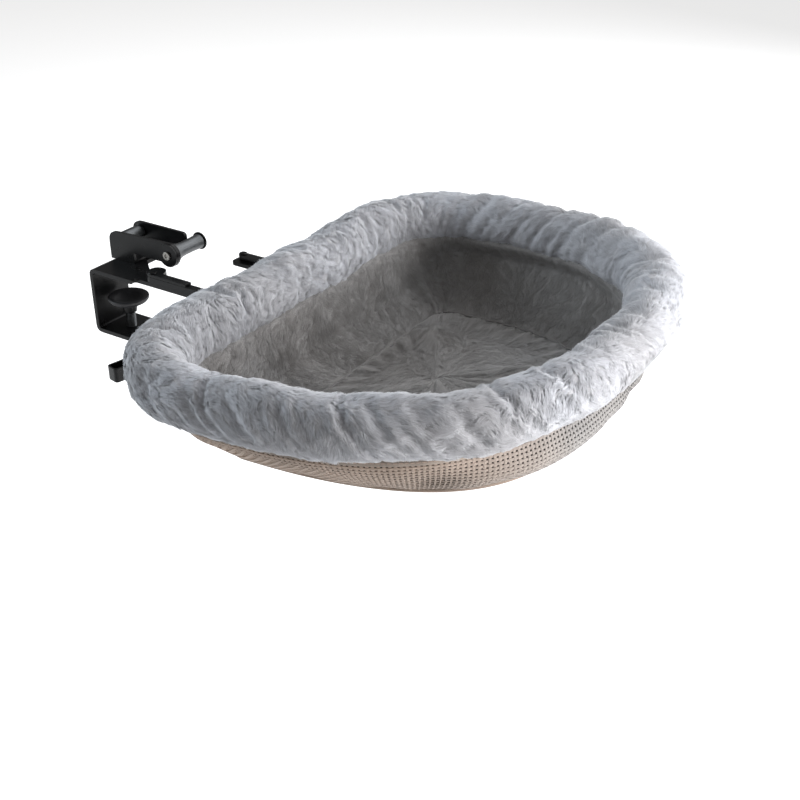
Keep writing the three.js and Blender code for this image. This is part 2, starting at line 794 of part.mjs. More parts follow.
addPiece(model, 'bar_near_upper', upperBar(-1, barHeadBack, barHeadRadius, nearRivetYs), 'blackSteel');
addPiece(model, 'bar_near_top_strip', topStrip(), 'blackSteel');
addPiece(model, 'bar_far_upper', upperBar(1, farBarBack + barWidth, farHeadRadius, farRivetYs), 'blackSteel');
addPiece(model, 'bar_far_lower', farLowerBar(), 'blackSteel');
addPiece(model, 'friction_screw_near', frictionScrew(-1), 'satinSteel');
addPiece(model, 'friction_screw_far', frictionScrew(1), 'satinSteel');
addPiece(model, 'crossbar', crossbar(), 'blackSteel');
[[barCentreX, nearRivetYs[0], plateUnder, stripTop - seatGap],
  [barCentreX, nearRivetYs[1], plateUnder - crossbarSheet, barTop],
  [-barCentreX, farRivetYs[0], plateUnder, barTop],
  [-barCentreX, farRivetYs[1], plateUnder - crossbarSheet, barTop]].forEach(([x, y, under, top], i) => {
  addPiece(model, `bar_rivet_${i + 1}`, rivet(x, y, under + seatGap, top), 'blackSteel');
});

// Clamp screw

function clampPad() {
  const under = padTop - padDiscHeight;
  const bowl = padDiscHeight - padDiscWall;
  const rimInner = padDiscRadius - padRimWidth;
  const outsideShares = [[0, 0], [0.6, 0], [0.9, 0.4], [1, 0.7], [1, 1]];
  const insideShares = [[1, 0], [0.75, 0.5], [0.4, 0.85], [0, 1]];
  const profile = [
    ...outsideShares.map(([r, z]) => [padDiscRadius * r, under + padDiscHeight * z]),
    ...insideShares.map(([r, z]) => [rimInner * r, padTop - bowl * z]),
  ];
  return turned(profile, padSides).translate(screwX, 0, 0);
}

function padSocket() {
  const top = padTop - padDiscHeight - seatGap;
  const under = top - socketDepth - padDiscWall;
  const cone = [[0, under], [socketNeckRadius, under], [socketRadius, top], [0, top]];
  const socket = turned(cone, roundSides).translate(screwX, 0, 0);
  return cut(socket, rodUp(spindleRadius + fitGap, screwX, 0, under - cutOverrun, top - padDiscWall));
}

function spindle() {
  const top = padTop - padDiscHeight - seatGap - padDiscWall - fitGap;
  const under = handleTop - handleHeight;
  return rodUp(spindleRadius, screwX, 0, under, top);
}

// A long hollow wing with an open top and a hub round the screw
function clampHandle() {
  const half = handleLength / 2;
  const under = handleTop - handleHeight;
  const wing = (long, wide, z, height) => extrudeUp(roundedShape([
    [screwX - long, -wide, wide / 2],
    [screwX + long, -wide, wide / 2],
    [screwX + long, wide, wide / 2],
    [screwX - long, wide, wide / 2],
  ]), z, height);
  const shell = cut(
    wing(half, handleWidth / 2, under, handleHeight),
    wing(half - handleWall, handleWidth / 2 - handleWall, under + handleWall, handleHeight),
  );
  const hub = solidOf(rodUp(
    handleWidth / 2 - handleWall / 2, screwX, 0, under + handleWall / 2, handleTop,
  ));
  const hole = solidOf(rodUp(spindleRadius + fitGap, screwX, 0, under - cutOverrun, handleTop + cutOverrun));
  const handle = shell.add(hub).subtract(hole);
  return handle.translate([-screwX, 0, 0]).rotate([0, 0, handleTurnDegrees]).translate([screwX, 0, 0]);
}

function capNut() {
  const top = handleTop - handleHeight - seatGap;
  return rodUp(capNutRadius, screwX, 0, top - capNutHeight, top, hexSides);
}

addPiece(model, 'clamp_pad', clampPad(), 'blackRubber');
addPiece(model, 'clamp_pad_socket', padSocket(), 'blackSteel');
addPiece(model, 'clamp_spindle', spindle(), 'brightSteel');
addPiece(model, 'clamp_handle', clampHandle(), 'blackSteel');
addPiece(model, 'clamp_handle_nut', capNut(), 'satinSteel');

// Bed

function hoopFrame() {
  return hoopTube(tubeSides, () => hoopTubeRadius);
}

// Thrust rings on the hoop, one outside each knuckle
function stopRing(side) {
  const centre = sideX(barCentreX, side);
  const inner = centre + side * (knuckleLength / 2 + fitGap);
  const outer = inner + side * sheet;
  const x0 = Math.min(inner, outer);
  const x1 = Math.max(inner, outer);
  const ring = rodAlongX(knuckleRadius, x0, x1, 0, 0);
  return cut(ring, rodAlongX(knuckleBore, x0 - cutOverrun, x1 + cutOverrun, 0, 0));
}

// The room in the roll that a knuckle and its bar sweep as the bed folds
function rollNotch(side) {
  const centre = sideX(barCentreX, side);
  const reach = knuckleLength / 2 + sheet + fitGap + swingGap;
  const saddleReach = Math.hypot(knuckleRadius + saddleDepth, saddleAboveHinge);
  const sweep = Math.max(knuckleRadius + barHeight, saddleReach) + swingGap;
  const far = rollRadius * 2;
  const start = THREE.MathUtils.degToRad(notchStartDegrees);
  const end = THREE.MathUtils.degToRad(notchEndDegrees);
  const middle = (start + end) / 2;
  const wedge = new THREE.Shape([
    new THREE.Vector2(0, 0),
    new THREE.Vector2(far * Math.cos(start), far * Math.sin(start)),
    new THREE.Vector2(far * Math.cos(middle), far * Math.sin(middle)),
    new THREE.Vector2(far * Math.cos(end), far * Math.sin(end)),
  ]);
  return [
    rodAlongX(sweep, centre - reach, centre + reach, 0, 0),
    extrudeAlongX(wedge, centre - reach, 2 * reach),
  ];
}

// The padded roll swells and sinks a little along its length
function rimRoll() {
  const lump = (i) => {
    const turn = (2 * Math.PI * i) / outline.length;
    const wave = (Math.sin(7 * turn) + Math.sin(11 * turn + 1)) / 2;
    return rollRadiusAt(outline[i]) * (1 + rollLumpShare * wave);
  };
  const outer = solidOf(hoopTube(rollSides, lump));
  const channel = hoopTube(channelSides, () => channelRadius);
  return [channel, ...rollNotch(-1), ...rollNotch(1)].reduce(
    (rest, tool) => rest.subtract(solidOf(tool)),
    outer,
  );
}

// A band round the top of the net, just outside it and along its slope
function netHem() {
  const edges = [-3 * fitGap, -3 * fitGap - hemThickness].map((push) => {
    const { rings } = basketRings(push);
    const low = rings[0].map((v, i) => v.clone().lerp(rings[1][i], hemHeightShare));
    return { top: rings[0], low };
  });
  const [inner, outer] = edges;
  return loft([outer.low, outer.top, inner.top, inner.low], null, null, 1);
}

// A crowned pad whose underside follows the basket's floor and whose sides draw in
function seatPad() {
  const { rings, pole } = basketRings(liningPush + liningThickness + 2 * fitGap);
  const [, , , wallEnd, floorOuter, floorInner] = rings;
  const skirt = floorOuter.map((v, i) => v.clone().lerp(wallEnd[i], padSkirtShare));
  const raised = (reachShare, riseShare) => wallEnd.map((v) => new THREE.Vector3(
    pole.x + (v.x - pole.x) * reachShare,
    pole.y + (v.y - pole.y) * reachShare,
    pole.z + padThickness * riseShare,
  ));
  const crown = padThickness * padCrownShare;
  const upper = padSideShares.map((share, i) => raised(share, padRiseShares[i]));
  const top = pole.clone().add(new THREE.Vector3(0, 0, padThickness + crown));
  return loft([floorInner, floorOuter, skirt, ...upper], pole, top);
}

addPiece(bed, 'hoop_frame', hoopFrame(), 'satinSteel');
addPiece(bed, 'hoop_stop_ring_near', stopRing(-1), 'satinSteel');
addPiece(bed, 'hoop_stop_ring_far', stopRing(1), 'satinSteel');
addPiece(bed, 'plush_rim', rimRoll(), 'plush');
addPiece(bed, 'net_basket', basketLayer(0, meshThickness), 'net');
addPiece(bed, 'plush_lining', basketLayer(liningPush, liningPush + liningThickness), 'plushInside');
addPiece(bed, 'net_hem', netHem(), 'tape');
addPiece(bed, 'seat_pad', seatPad(), 'plush');

export default model;
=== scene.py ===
"""Looks of a clamp-on pet bed: plush rim, lining and cushion, net basket, steel clamp and bars."""

import json
import math
from collections import namedtuple

import bmesh
import bpy
import numpy as np
from bpy.props import FloatProperty, FloatVectorProperty, IntProperty, PointerProperty
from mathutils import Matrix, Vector

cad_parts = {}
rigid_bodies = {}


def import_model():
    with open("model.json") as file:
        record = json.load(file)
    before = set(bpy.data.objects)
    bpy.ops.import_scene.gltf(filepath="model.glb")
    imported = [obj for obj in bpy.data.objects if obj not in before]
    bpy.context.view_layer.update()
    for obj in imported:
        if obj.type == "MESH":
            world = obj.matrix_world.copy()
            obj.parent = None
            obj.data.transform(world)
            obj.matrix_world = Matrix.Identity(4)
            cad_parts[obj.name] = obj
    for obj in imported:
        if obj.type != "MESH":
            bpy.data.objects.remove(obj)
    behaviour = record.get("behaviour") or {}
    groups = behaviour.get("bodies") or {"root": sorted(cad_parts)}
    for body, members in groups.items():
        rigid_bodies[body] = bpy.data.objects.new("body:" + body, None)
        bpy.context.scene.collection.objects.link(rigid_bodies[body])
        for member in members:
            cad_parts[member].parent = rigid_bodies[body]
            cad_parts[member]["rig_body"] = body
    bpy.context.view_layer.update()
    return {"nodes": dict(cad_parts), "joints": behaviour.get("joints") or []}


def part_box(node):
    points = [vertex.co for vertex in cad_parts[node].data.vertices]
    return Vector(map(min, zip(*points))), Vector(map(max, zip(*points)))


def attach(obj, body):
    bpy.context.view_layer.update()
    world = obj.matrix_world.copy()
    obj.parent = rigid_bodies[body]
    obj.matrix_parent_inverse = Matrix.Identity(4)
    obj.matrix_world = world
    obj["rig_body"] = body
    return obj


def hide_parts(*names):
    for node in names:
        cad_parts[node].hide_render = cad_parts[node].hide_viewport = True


bl_info = {
    "name": "Clamp-on pet bed",
    "version": (1, 0, 0),
    "blender": (4, 5, 0),
    "location": "View3D > Sidebar > Pet bed",
    "description": "Builds the plush, net and steel surfaces of a pet bed that clamps to a board",
    "category": "Object",
}

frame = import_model()
JOINTS = {joint["name"]: joint for joint in frame["joints"]}
HINGE = np.array(JOINTS["bed_fold"]["pos_m"])
SCREW = np.array(JOINTS["clamp_spin"]["pos_m"])
FAR_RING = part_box("hoop_stop_ring_far")
# How much nearer the bed's middle a bar's knuckle stands than the stop ring beside it
RING_TO_KNUCKLE = 0.0103
KNUCKLE_X = abs(FAR_RING[0].x + FAR_RING[1].x) / 2 - RING_TO_KNUCKLE

TURN = 2 * math.pi
MAP_NAME = "OFBake"


# Sizes and colours


def length(name, default, description, least=0.0):
    return FloatProperty(name=name, default=default, description=description, unit="LENGTH", min=least)


def angle(name, degrees, description):
    return FloatProperty(name=name, default=math.radians(degrees), description=description, subtype="ANGLE")


def colour(name, default, description):
    return FloatVectorProperty(
        name=name, default=default, description=description, subtype="COLOR", size=3, min=0, max=1
    )


class HoopSizes(bpy.types.PropertyGroup):
    half_width: length("Half width", 0.22, "Hoop line's half width")
    corner: length("Corner", 0.0766, "Radius of the two corners at the hinge side")
    front: length("Front depth", 0.2488, "Depth of the rounded front past the corners")
    power: FloatProperty(name="Front power", default=2.61, description="Power of the front's superellipse")
    tilt: angle("Tilt", 3.7, "How far the front stands up")


class PlushSizes(bpy.types.PropertyGroup):
    roll: length("Roll radius", 0.0228, "Radius of the rim's skin under its pile")
    under: length("Roll underside", 0.0022, "How much fuller the skin is where the net is sewn on")
    pile: length("Pile", 0.0125, "Length of a strand on the rim")
    strand: length("Strand width", 0.00075, "Widest part of a strand")
    clump: length("Clump", 0.0066, "Distance between tufts")
    rim_strands: IntProperty(name="Rim strands", default=170000, description="Strands on the rim")
    lining_strands: IntProperty(name="Lining strands", default=60000, description="Strands on the lining")
    pad_strands: IntProperty(name="Cushion strands", default=26000, description="Strands on the cushion")
    tip: colour("Tips", (0.69, 0.705, 0.75), "Colour of the pile's tips")
    root: colour("Roots", (0.60, 0.605, 0.635), "Colour between the strands")
    inside_tip: colour("Inside tips", (0.41, 0.40, 0.395), "Colour of the lining's tips")
    inside_root: colour("Inside roots", (0.27, 0.26, 0.255), "Colour between the lining's strands")


class NetSizes(bpy.types.PropertyGroup):
    pitch: length("Pitch", 0.0039, "Distance from one yarn to the next")
    yarn: length("Yarn width", 0.0023, "Width of a flat yarn")
    thickness: length("Yarn thickness", 0.0007, "Thickness of a flat yarn")
    yarn_colour: colour("Yarn", (0.53, 0.415, 0.34), "Colour of the net on its near side")
    faded_colour: colour("Faded yarn", (0.345, 0.333, 0.326), "Colour of the net on its far, sunlit side")
    tape_colour: colour("Tape", (0.50, 0.42, 0.36), "Colour of the tape and the bindings")


class MetalFinish(bpy.types.PropertyGroup):
    bevel: length("Edge", 0.0005, "Width of the rounding on the metal's edges")
    black: colour("Black coat", (0.006, 0.006, 0.0065), "Colour of the powder coat")
    satin: colour("Satin steel", (0.11, 0.115, 0.12), "Colour of the dark plated steel")
    bright: colour("Bright steel", (0.40, 0.385, 0.36), "Colour of the bright plated steel")
    rubber: colour("Rubber", (0.012, 0.012, 0.014), "Colour of the pad and the liner")
    pitch: length("Thread pitch", 0.0015, "Rise of the clamp screw for one turn")


class StageSizes(bpy.types.PropertyGroup):
    azimuth: angle("Azimuth", -57.276, "Camera's direction round the bed")
    elevation: angle("Elevation", 29.461, "Camera's height")
    distance: length("Distance", 1.19833, "From the camera to the plane through the aim point")
    aside: length("Aside", 0.27146, "Shift to the right", -10.0)
    above: length("Above", -0.14970, "Shift upwards", -10.0)
    lens: FloatProperty(name="Lens", default=54.0, description="Focal length in mm on a 36 mm sensor")
    floor: length("Floor", -0.46, "Height of the floor", -10.0)


GROUPS = {
    "bed_hoop": HoopSizes,
    "bed_plush": PlushSizes,
    "bed_net": NetSizes,
    "bed_metal": MetalFinish,
    "bed_stage": StageSizes,
}


# Shapes worked out with numpy


def unit(vectors):
    """Each vector divided by its own length."""
    return vectors / np.maximum(np.linalg.norm(vectors, axis=-1, keepdims=True), 1e-12)


def ease(low, high, values):
    """0 below low, 1 above high, and the smooth step 3t^2 - 2t^3 between."""
    t = np.clip((values - low) / (high - low), 0, 1)
    return t * t * (3 - 2 * t)


def hump(rise, fall, values):
    """0, then 1 between the two ranges rise and fall, then 0: one smooth step up times one down."""
    return ease(*rise, values) * (1 - ease(*fall, values))


def ripples(u, v, waves, seed):
    """A sum of cosines with random directions and phases, periodic over u and v from 0 to 1, about -1 to 1.

    waves holds (most waves round u, most waves over v, count)."""
    rng = np.random.default_rng(seed)
    most_u, most_v, count = waves
    total = np.zeros(np.broadcast(u, v).shape)
    for _ in range(count):
        k = rng.integers(1, most_u + 1)
        m = rng.integers(-most_v, most_v + 1)
        total += np.cos(TURN * (k * u + m * v + rng.random()))
    return total / math.sqrt(count)


def shares(count):
    """The shares 0, 1/n, 2/n ... of the way round a closed direction, as a column."""
    return (np.arange(count) / count)[:, None]


def hoop_line(hoop, count):
    """The hoop's centre line at equal steps: points and outward normals, both (count, 2).

    The front is the superellipse |x/a|^n + |y/b|^n = 1, then come two quarter circles and the straight
    side."""
    a, r, power = hoop.half_width, hoop.corner, 2 / hoop.power
    turn = np.linspace(math.pi, TURN, 1200)
    c, s = np.cos(turn), np.sin(turn)
    front = np.stack([a * np.sign(c) * np.abs(c) ** power, -r - hoop.front * np.abs(s) ** power], 1)
    arc = np.linspace(0, math.pi / 2, 120)
    right = np.stack([a - r + r * np.cos(arc), -r + r * np.sin(arc)], 1)
    left = np.stack([-(a - r) - r * np.sin(arc), -r + r * np.cos(arc)], 1)
    line = np.concatenate([front, right[1:], left, front[:1]])
    step = np.linalg.norm(np.diff(line, axis=0), axis=1)
    line = line[np.concatenate([[True], step > 1e-7])]
    reach = np.concatenate([[0], np.cumsum(np.linalg.norm(np.diff(line, axis=0), axis=1))])
    at = np.arange(count) / count * reach[-1]
    points = np.stack([np.interp(at, reach, line[:, i]) for i in range(2)], 1)
    along = unit(np.roll(points, -1, 0) - np.roll(points, 1, 0))
    return points, np.stack([along[:, 1], -along[:, 0]], 1)


def placed(points, hoop):
    """Points of the bed's own frame, whose x axis is the hinge line, tilted and moved to the hinge."""
    c, s = math.cos(hoop.tilt), math.sin(hoop.tilt)
    x, y, z = np.moveaxis(np.asarray(points, float), -1, 0)
    return np.stack([x, c * y + s * z, -s * y + c * z], -1) + HINGE


def loop_faces(rows, columns, wrap_rows, wrap_columns):
    """Quads of a grid whose point (i, j) has the number i * columns + j."""
    i = np.arange(rows if wrap_rows else rows - 1)[:, None]
    j = np.arange(columns if wrap_columns else columns - 1)[None, :]
    i2, j2 = (i + 1) % rows, (j + 1) % columns
    corners = [i * columns + j, i2 * columns + j, i2 * columns + j2, i * columns + j2]
    return np.stack([np.broadcast_to(c, (len(i), j.shape[1])) for c in corners], -1).reshape(-1, 4)


def loop_map(rows, columns, wrap_rows, wrap_columns):
    """Map corners for loop_faces: the grid laid flat, each wrapped edge once on either side."""
    count_i = rows if wrap_rows else rows - 1
    count_j = columns if wrap_columns else columns - 1
    i, j = np.meshgrid(np.arange(count_i), np.arange(count_j), indexing="ij")
    corners = [(i, j), (i + 1, j), (i + 1, j + 1), (i, j + 1)]
    return np.stack([np.stack([a / count_i, b / count_j], -1) for a, b in corners], 2).reshape(-1, 2)


def normals_of(points, wrap_v=False):
    """Unit normals of a grid that wraps over its first direction: the cross product of its two slopes."""
    along_u = np.roll(points, -1, 0) - np.roll(points, 1, 0)
    along_v = np.roll(points, -1, 1) - np.roll(points, 1, 1) if wrap_v else np.gradient(points, axis=1)
    return unit(np.cross(unit(along_u), unit(along_v)))


def outward(grid):
    """A grid's unit normals, all turned over if they point towards the middle of its points."""
    out = -normals_of(grid)
    return out * np.sign(((grid - grid.mean((0, 1))) * out).sum())


def sampled(grid, u, v, wrap_v):
    """A grid's values at shares u and v of its two directions, blended from the four nearest points."""
    rows, columns = grid.shape[:2]
    a = (u % 1) * rows
    b = (v % 1) * columns if wrap_v else np.clip(v, 0, 1) * (columns - 1.001)
    i, j = np.floor(a).astype(int), np.floor(b).astype(int)
    fa, fb = (a - i)[:, None], (b - j)[:, None]
    i, j = i % rows, j % columns
    i2, j2 = (i + 1) % rows, (j + 1) % columns
    low = grid[i, j] * (1 - fb) + grid[i, j2] * fb
    high = grid[i2, j] * (1 - fb) + grid[i2, j2] * fb
    return low * (1 - fa) + high * fa


def curved(rings, share):
    """Points on smooth curves through rings (k, n, 3) at shares 0 to 1 of the way, as (len(share), n, 3).

    Between two rings it is the cubic Hermite curve whose slopes are half the step between their
    neighbours, and the shares are counted by the rings' mean distance."""
    gaps = np.linalg.norm(np.diff(rings, axis=0), axis=2).mean(1)
    knots = np.concatenate([[0], np.cumsum(gaps)]) / gaps.sum()
    slopes = np.empty_like(rings)
    slopes[1:-1] = (rings[2:] - rings[:-2]) / (knots[2:] - knots[:-2])[:, None, None]
    slopes[0] = (rings[1] - rings[0]) / (knots[1] - knots[0])
    slopes[-1] = (rings[-1] - rings[-2]) / (knots[-1] - knots[-2])
    k = np.clip(np.searchsorted(knots, share, side="right") - 1, 0, len(rings) - 2)
    width = (knots[k + 1] - knots[k])[:, None, None]
    t = ((share - knots[k]) / (knots[k + 1] - knots[k]))[:, None, None]
    return (
        (2 * t**3 - 3 * t**2 + 1) * rings[k]
        + (t**3 - 2 * t**2 + t) * width * slopes[k]
        + (3 * t**2 - 2 * t**3) * rings[k + 1]
        + (t**3 - t**2) * width * slopes[k + 1]
    )


# Basket sizes, which follow the solids, in metres: each wall ring's insets at the side, the front and the
# back, and its share of the depth; each floor ring's share of the last wall ring, and of the depth
BASKET_DEPTH = 0.088
TOP_INSETS = (0.013, 0.013, 0.021)
WALL_INSETS = ((0.005, 0.009, 0.026), (0.027, 0.003, 0.031), (0.048, 0.024, 0.052))
WALL_DEPTH_SHARES = (0.42, 0.69, 0.88)
FLOOR_RINGS = ((0.8, 0.965), (0.5, 1.0), (0.2, 1.0))
# From the hoop's line to the roll's surface, where the basket's top ring lies on it
RIM_REACH = 0.0271

# How far each skin lies inside the basket's own surface
NET_PUSH, TAPE_PUSH, CUSHION_PUSH = 0.0010, -0.0009, 0.0112
LINING_INSIDE, LINING_OUTSIDE = 0.0088, 0.0026

# Where the net is pulled open: place round the rim, place down the wall, width and depth of each hollow
HOLLOWS = ((0.15, 0.7, 0.02, 1.0), (0.33, 0.6, 0.014, 1.0), (0.47, 0.45, 0.012, 0.8))
HOLLOW_HEIGHT = 0.3
RIPPLE_DEPTH, HOLLOW_DEPTH, LINING_HOLLOW_DEPTH = 0.0009, 0.0024, 0.0034

# The roll's section, in degrees about the hoop's line, with 0 outwards and 90 upwards: its start, the arc
# that no pocket cuts, and the middle of the side where the net is sewn on
ROLL_START, WHOLE_ARC, NET_SIDE = -8, 242, 252
# A knuckle's pocket: its radius about the hoop's line, where its sides rise, from the knuckle's middle, and
# the shares of the cut columns at which the skin reaches the pocket's wall and leaves it again
POCKET_ROOM = 0.0158
POCKET_EDGE = (0.0138, 0.0168)
POCKET_WALL = (0.15, 0.85)
# How high the rim's lumps stand, how deep its folds go and how far they slant, as a share of the way round
LUMPS, FOLDS, FOLD_SLANT = 0.0011, 0.0011, 0.012
# The net holds the roll where the sine of the section's angle is under this
HELD_UNDER = -0.35

# The share of the way to the wall where the lining starts under the roll, and its pleats' depth
TUCK, PLEAT_DEPTH = 0.66, 0.0028
# Shares of the lining's way from roll to floor: its wall's start and length, and where pleats rise and end
WALL_TOP, WALL_LENGTH = 0.06, 0.46
PLEATS_RISE, PLEATS_END = (0.08, 0.2), (0.44, 0.58)
# The cushion's share of the floor, its seam's height over the floor and its crown's over the seam
CUSHION_REACH, SEAM_HEIGHT, CROWN = 0.885, 0.006, 0.006
# The puckers of the cushion's seam: how many, and their depth as a share of the cushion's reach
PUCKERS, PUCKER_DEPTH = 46, 0.006
PIPING_RADIUS, SEAM_CORD_RADIUS = 0.0013, 0.0017
# The tape's thickness and waves, and its stitches: how many, half their length and their width
TAPE_THICKNESS, TAPE_WAVES = 0.001, 0.0004
STITCHES, STITCH_REACH, STITCH_WIDTH = 300, 0.0016, 0.0007


def roll_share(out):
    """The roll's thickness over its usual one: fuller at the straight side and the far front corner.

    It is 1 + 0.17 ny^2 where the outward normal points back, and 1 + 0.11 (2 nx ny)^2 at that corner."""
    back = np.maximum(out[:, 1], 0) ** 2
    corner = np.where((out[:, 0] > 0) & (out[:, 1] < 0), (2 * out[:, 0] * out[:, 1]) ** 2, 0)
    return 1 + 0.17 * back + 0.11 * corner


def basket_rings(hoop, push, count):
    """The basket's wall and floor as rings (7, count, 3) in the bed's own frame, pushed in by a thickness.

    An inset is blended by the outward normal: side times nx^2 plus front or back times ny^2."""
    line, out = hoop_line(hoop, count)

    def ring(insets, depth):
        side, front, back = insets
        inset = side * out[:, 0] ** 2 + np.where(out[:, 1] < 0, front, back) * out[:, 1] ** 2 + push
        flat = line - out * inset[:, None]
        below = depth(inset) if callable(depth) else np.full(count, depth)
        return np.concatenate([flat, -below[:, None]], 1)

    depth = BASKET_DEPTH - push
    reach = RIM_REACH * roll_share(out)
    rings = [ring(TOP_INSETS, lambda inset: np.sqrt(np.maximum(reach**2 - inset**2, 0)))]
    rings += [ring(insets, depth * share) for insets, share in zip(WALL_INSETS, WALL_DEPTH_SHARES)]
    foot = rings[-1]
    middle = foot.mean(0)
    for shrink, share in FLOOR_RINGS:
        floor = middle + foot * shrink - middle * shrink
        floor[:, 2] = -depth * share
        rings.append(floor)
    return np.array(rings)


def hollows(u, share):
    """0 to 1 over the places where the net is pulled open: a sum of bell curves exp(-a^2 - b^2)."""
    total = 0 * u * share
    for place, low, wide, depth in HOLLOWS:
        apart = (u - place + 0.5) % 1 - 0.5
        total = total + depth * np.exp(-((apart / wide) ** 2) - ((share - low) / HOLLOW_HEIGHT) ** 2)
    return np.minimum(total, 1)


def dents(u, share):
    """How far the net and the lining's outside sink in, at shares u round the rim and share down the wall.

    Soft ripples and the hollows, all fading to nothing at the rim."""
    soft = RIPPLE_DEPTH * np.maximum(ripples(u, share, (22, 1, 10), 71), 0)
    return (soft + HOLLOW_DEPTH * hollows(u, share)) * ease(0.05, 0.3, share)


# Making Blender meshes


def assign(target, **values):
    """Sets several values of one of Blender's own things."""
    for key, value in values.items():
        setattr(target, key, value)


def linked(name, data):
    """A new object with this data, in the scene."""
    made = bpy.data.objects.new(name, data)
    bpy.context.scene.collection.objects.link(made)
    return made


def new_piece(name, points, faces, material, flat_map, values=None, smooth=True, normals=None):
    """A mesh piece from points and faces, with map corners, named point values and shading normals."""
    mesh = bpy.data.meshes.new(name)
    mesh.from_pydata(np.asarray(points, np.float32).reshape(-1, 3), [], faces)
    layer = mesh.uv_layers.new(name=MAP_NAME)
    layer.uv.foreach_set("vector", np.asarray(flat_map, np.float32).ravel())
    for key, array in (values or {}).items():
        layer = mesh.attributes.new(key, "FLOAT", "POINT")
        layer.data.foreach_set("value", np.asarray(array, np.float32).ravel())
    mesh.polygons.foreach_set("use_smooth", np.full(len(mesh.polygons), smooth))
    mesh.materials.append(material)
    mesh.update()
    if normals is not None:
        mesh.normals_split_custom_set_from_vertices(np.asarray(normals, np.float32).reshape(-1, 3))
    return linked(name, mesh)


def grid_piece(name, grid, material, wrap_rows=True, wrap_columns=True, values=None):
    """A piece whose points are a grid (rows, columns, 3), closed over one or both of its directions."""
    shape = (*grid.shape[:2], wrap_rows, wrap_columns)
    return new_piece(name, grid, loop_faces(*shape), material, loop_map(*shape), values)


def sealed(piece, rings, split=True):
    """Closes open ends with a face in each ring of point numbers, and turns all faces outwards."""
    shape = bmesh.new()
    shape.from_mesh(piece.data)
    shape.verts.ensure_lookup_table()
    for ring in rings:
        shape.faces.new([shape.verts[int(i)] for i in ring])
    bmesh.ops.recalc_face_normals(shape, faces=shape.faces)
    if split:
        bmesh.ops.triangulate(shape, faces=[face for face in shape.faces if len(face.verts) > 4])
    shape.to_mesh(piece.data)
    shape.free()


def end_rings(columns, rows):
    """The point numbers round the two open edges of a grid that wraps over its first direction."""
    first = np.arange(columns) * rows
    return first[::-1], first + rows - 1


SWELLING_FRAMES = 20
THREAD_STIFFNESS = 8.0


def inflated(points, faces, pinned, pressure, slack, cap):
    """A closed skin swollen by Blender's cloth under pressure, no point further than cap from its start.

    Its threads may lengthen by slack, which wrinkles the skin where it is held."""
    points = np.asarray(points, float)
    scene = bpy.context.scene
    mesh = bpy.data.meshes.new("swelling")
    mesh.from_pydata(points.astype(np.float32), [], faces)
    piece = linked("swelling", mesh)
    piece.vertex_groups.new(name="held").add([int(i) for i in pinned], 1.0, "REPLACE")
    cloth = piece.modifiers.new("swelling", "CLOTH")
    assign(
        cloth.settings, quality=5, mass=0.3, tension_stiffness=THREAD_STIFFNESS,
        compression_stiffness=THREAD_STIFFNESS, bending_stiffness=0.4, use_pressure=True,
        uniform_pressure_force=pressure, shrink_min=-slack, vertex_group_mass="held",
    )
    cloth.settings.effector_weights.gravity = 0
    cloth.collision_settings.use_collision = False
    assign(cloth.point_cache, frame_start=1, frame_end=SWELLING_FRAMES)
    for number in range(SWELLING_FRAMES):
        scene.frame_set(number + 1)
    shown = piece.evaluated_get(bpy.context.evaluated_depsgraph_get())
    moved = np.empty(len(points) * 3, np.float32)
    shown.data.vertices.foreach_get("co", moved)
    scene.frame_set(1)
    bpy.data.objects.remove(piece)
    shift = moved.reshape(-1, 3) - points
    far = np.linalg.norm(shift, axis=1, keepdims=True)
    return points + shift * np.minimum(1, cap / np.maximum(far, 1e-9))


def tufts(u, v, size_u, size_v, clump, rng):
    """For each strand the place of its tuft's middle and the tuft's number.

    Middles lie in a jittered grid over the skin, and a strand belongs to the nearest of the nine about
    it."""
    rows, columns = max(int(size_u / clump), 3), max(int(size_v / clump), 3)
    jitter = rng.random((rows, columns, 2))
    i, j = np.floor(u * rows).astype(int), np.floor(v * columns).astype(int)
    best = np.full(len(u), 1e9)
    found = np.zeros((len(u), 2))
    number = np.zeros(len(u), int)
    for di in (-1, 0, 1):
        for dj in (-1, 0, 1):
            a, b = i + di, j + dj
            spot = jitter[a % rows, b % columns]
            cu, cv = (a + spot[:, 0]) / rows, (b + spot[:, 1]) / columns
            far = np.hypot((cu - u) * size_u, (cv - v) * size_v)
            near = far < best
            best = np.where(near, far, best)
            found = np.where(near[:, None], np.stack([cu, cv], 1), found)
            number = np.where(near, (a % rows) * columns + b % columns, number)
    return found, number, rows * columns


STRAND_FACES = np.array([[0, 2, 1], [0, 3, 2], [0, 1, 3], [4, 1, 2], [4, 2, 3], [4, 3, 1]])
STRAND_MAP = np.array([[0.5, 0.0], [0.1, 0.5], [0.5, 0.6], [0.9, 0.5], [0.5, 0.95]])
STRAND_TIPS = np.array([0.0, 0.5, 0.55, 0.5, 1.0])
# How far a strand's root stands inside its skin
ROOT_DEPTH = 0.0008

# How a pile lies: strand length and width, tuft size, how far it rises, how much tufts close up and turn
Comb = namedtuple("Comb", "strand width clump rise pull turn", defaults=(0.09, 0.4, 0.3))


